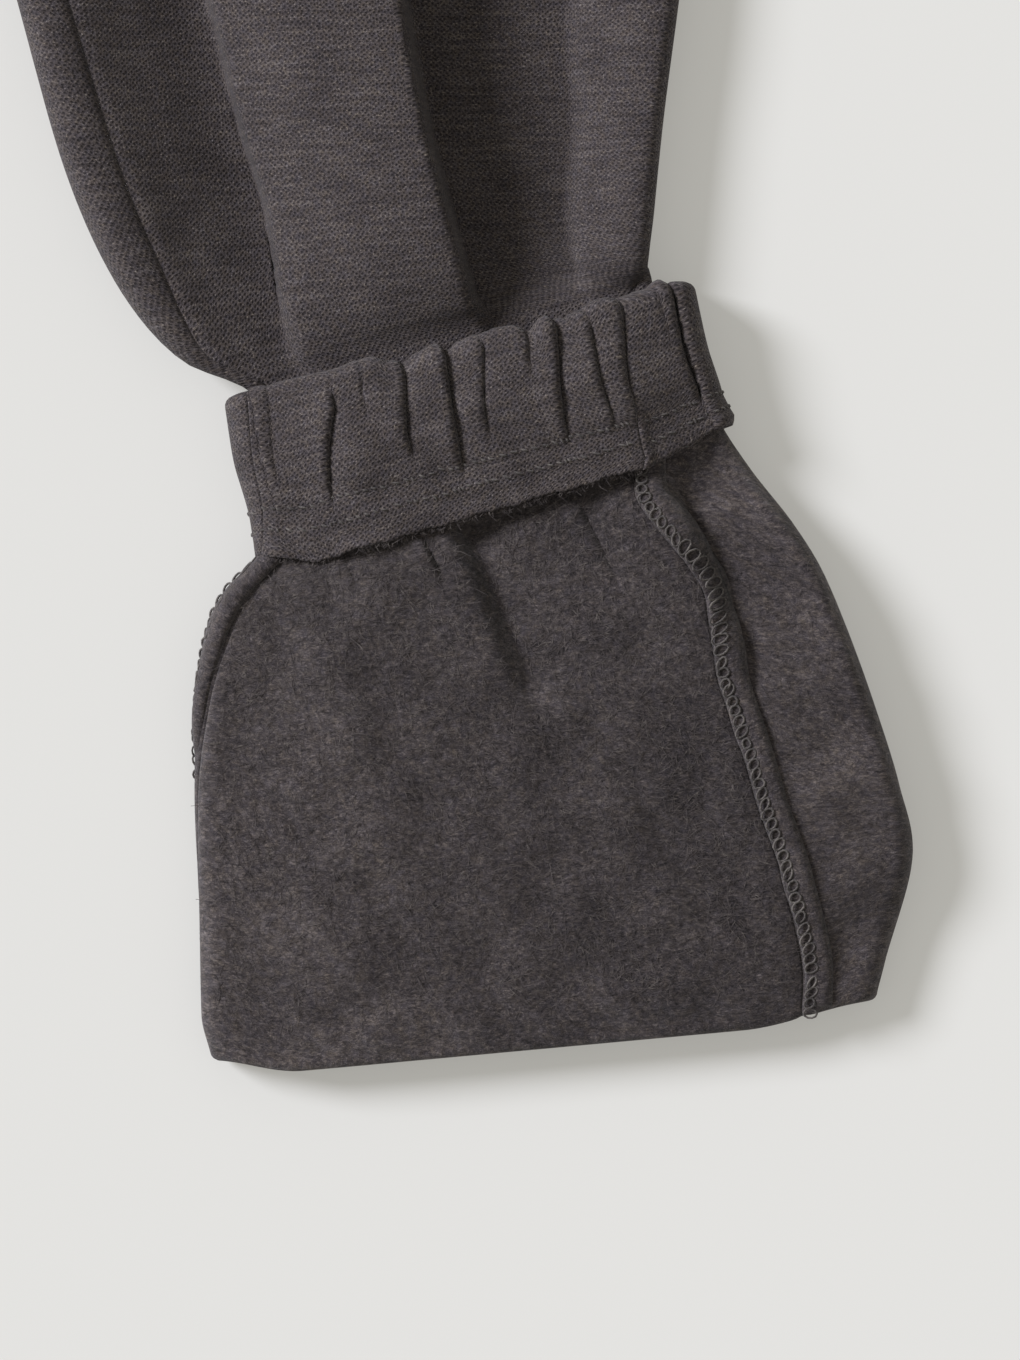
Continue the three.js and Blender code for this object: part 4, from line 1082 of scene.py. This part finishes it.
# Waistband: a strip of the same knit doubled over 38 mm elastic and gathered by it, sewn to the
# top of the four panels.
BAND_FOOT = WAIST_SEAM + 0.3
BAND_HALF = 169.5
BAND_ROLL = 4.4
BAND_CLOTH = 3.2
BAND_WAVES = 17
rows = []
for v in np.linspace(0, 1, 33):
    flat = BAND_HALF - BAND_ROLL + 1.2 * (1 - ease(v / 0.3))
    puff = math.sin(math.pi * min(1, v / 0.16) / 2) * math.sin(math.pi * min(1, (1 - v) / 0.1) / 2)
    height = 8.4 + 1.8 * puff
    t = np.linspace(0, 1, 200)
    fade = ease(t / 0.03) * ease((1 - t) / 0.03)
    ripple = np.sin(2 * np.pi * BAND_WAVES * (t + 0.012 * np.sin(11 * t) + 0.006 * np.sin(47 * t)))
    ripple = np.sign(ripple) * np.abs(ripple) ** 0.8 * (1 + 0.3 * np.sin(23 * t))
    ripple = ripple + 0.25 * np.sin(2 * np.pi * 41 * t + 3 * v)
    top = np.stack([-flat + 2 * flat * t, 0 * t, height - 1.6 + fade * 0.75 * puff * ripple], axis=1)
    g = np.linspace(0, np.pi, 9)[1:-1]
    half = (height - 1.6 - 1.6) / 2
    right = np.stack([flat + BAND_ROLL * np.sin(g), 0 * g, 1.6 + half * (1 + np.cos(g))], axis=1)
    t = np.linspace(0, 1, 60)
    under = np.stack([flat - 2 * flat * t, 0 * t, 1.6 + 0 * t], axis=1)
    left = np.stack([-flat - BAND_ROLL * np.sin(g), 0 * g, 1.6 + half * (1 - np.cos(g))], axis=1)
    ring = np.concatenate([top, right, under, left, top[:1]])
    ring[:, 1] = BAND_TOP - (BAND_TOP - BAND_FOOT) * v
    rows.append(ring)
points = np.array(rows)
waistband = cloth_piece("waistband_cloth", "waistband", points,
                        (pique_face, pique_face), thickness=BAND_CLOTH)

# The plain pale surface that the joggers lie on, in soft light from the upper left. It also glows
# evenly, painted light that lifts the shadows cast on it.
floor_mesh = bpy.data.meshes.new("surface")
bm = bmesh.new()
bmesh.ops.create_grid(bm, x_segments=1, y_segments=1, size=3)
bm.to_mesh(floor_mesh)
bm.free()
floor = bpy.data.objects.new("surface", floor_mesh)
bpy.context.collection.objects.link(floor)
material, look = new_finish("pale_glowing_surface")
# The emission is painted light: a glow of the surface itself, which lightens its shadows.
shader = look.node("ShaderNodeBsdfPrincipled", {}, {
    "Base Color": (0.50, 0.50, 0.492, 1), "Roughness": 0.75, "Specular IOR Level": 0.2,
    "Emission Color": (1.0, 0.98, 0.915, 1), "Emission Strength": 0.285})
look.node("ShaderNodeOutputMaterial", {}, {0: shader})
floor_mesh.materials.append(material)

PHOTO_MIDDLE = Vector((0.2000, -0.2618, 0.012))
PHOTO_HEIGHT = 0.3128
light = bpy.data.lights.new("soft_window", "SUN")
light.energy, light.angle, light.color = 4.0, math.radians(20), (0.93, 0.94, 1.0)
window = bpy.data.objects.new("soft_window", light)
window.rotation_euler = Vector((-0.78, 0.36, 0.53)).to_track_quat("Z", "Y").to_euler()
bpy.context.collection.objects.link(window)
world = bpy.data.worlds.new("room")
world.use_nodes = True
world.node_tree.nodes["Background"].inputs[0].default_value = (1.0, 0.98, 0.91, 1)
world.node_tree.nodes["Background"].inputs[1].default_value = 0.35
bpy.context.scene.world = world
bpy.context.scene.view_settings.view_transform = "Standard"

camera_data = bpy.data.cameras.new("camera")
camera_data.lens, camera_data.sensor_width = 200, 36
camera = bpy.data.objects.new("camera", camera_data)
camera.location = PHOTO_MIDDLE + Vector((0, 0, PHOTO_HEIGHT * camera_data.lens / 36))
bpy.context.collection.objects.link(camera)
bpy.context.scene.camera = camera
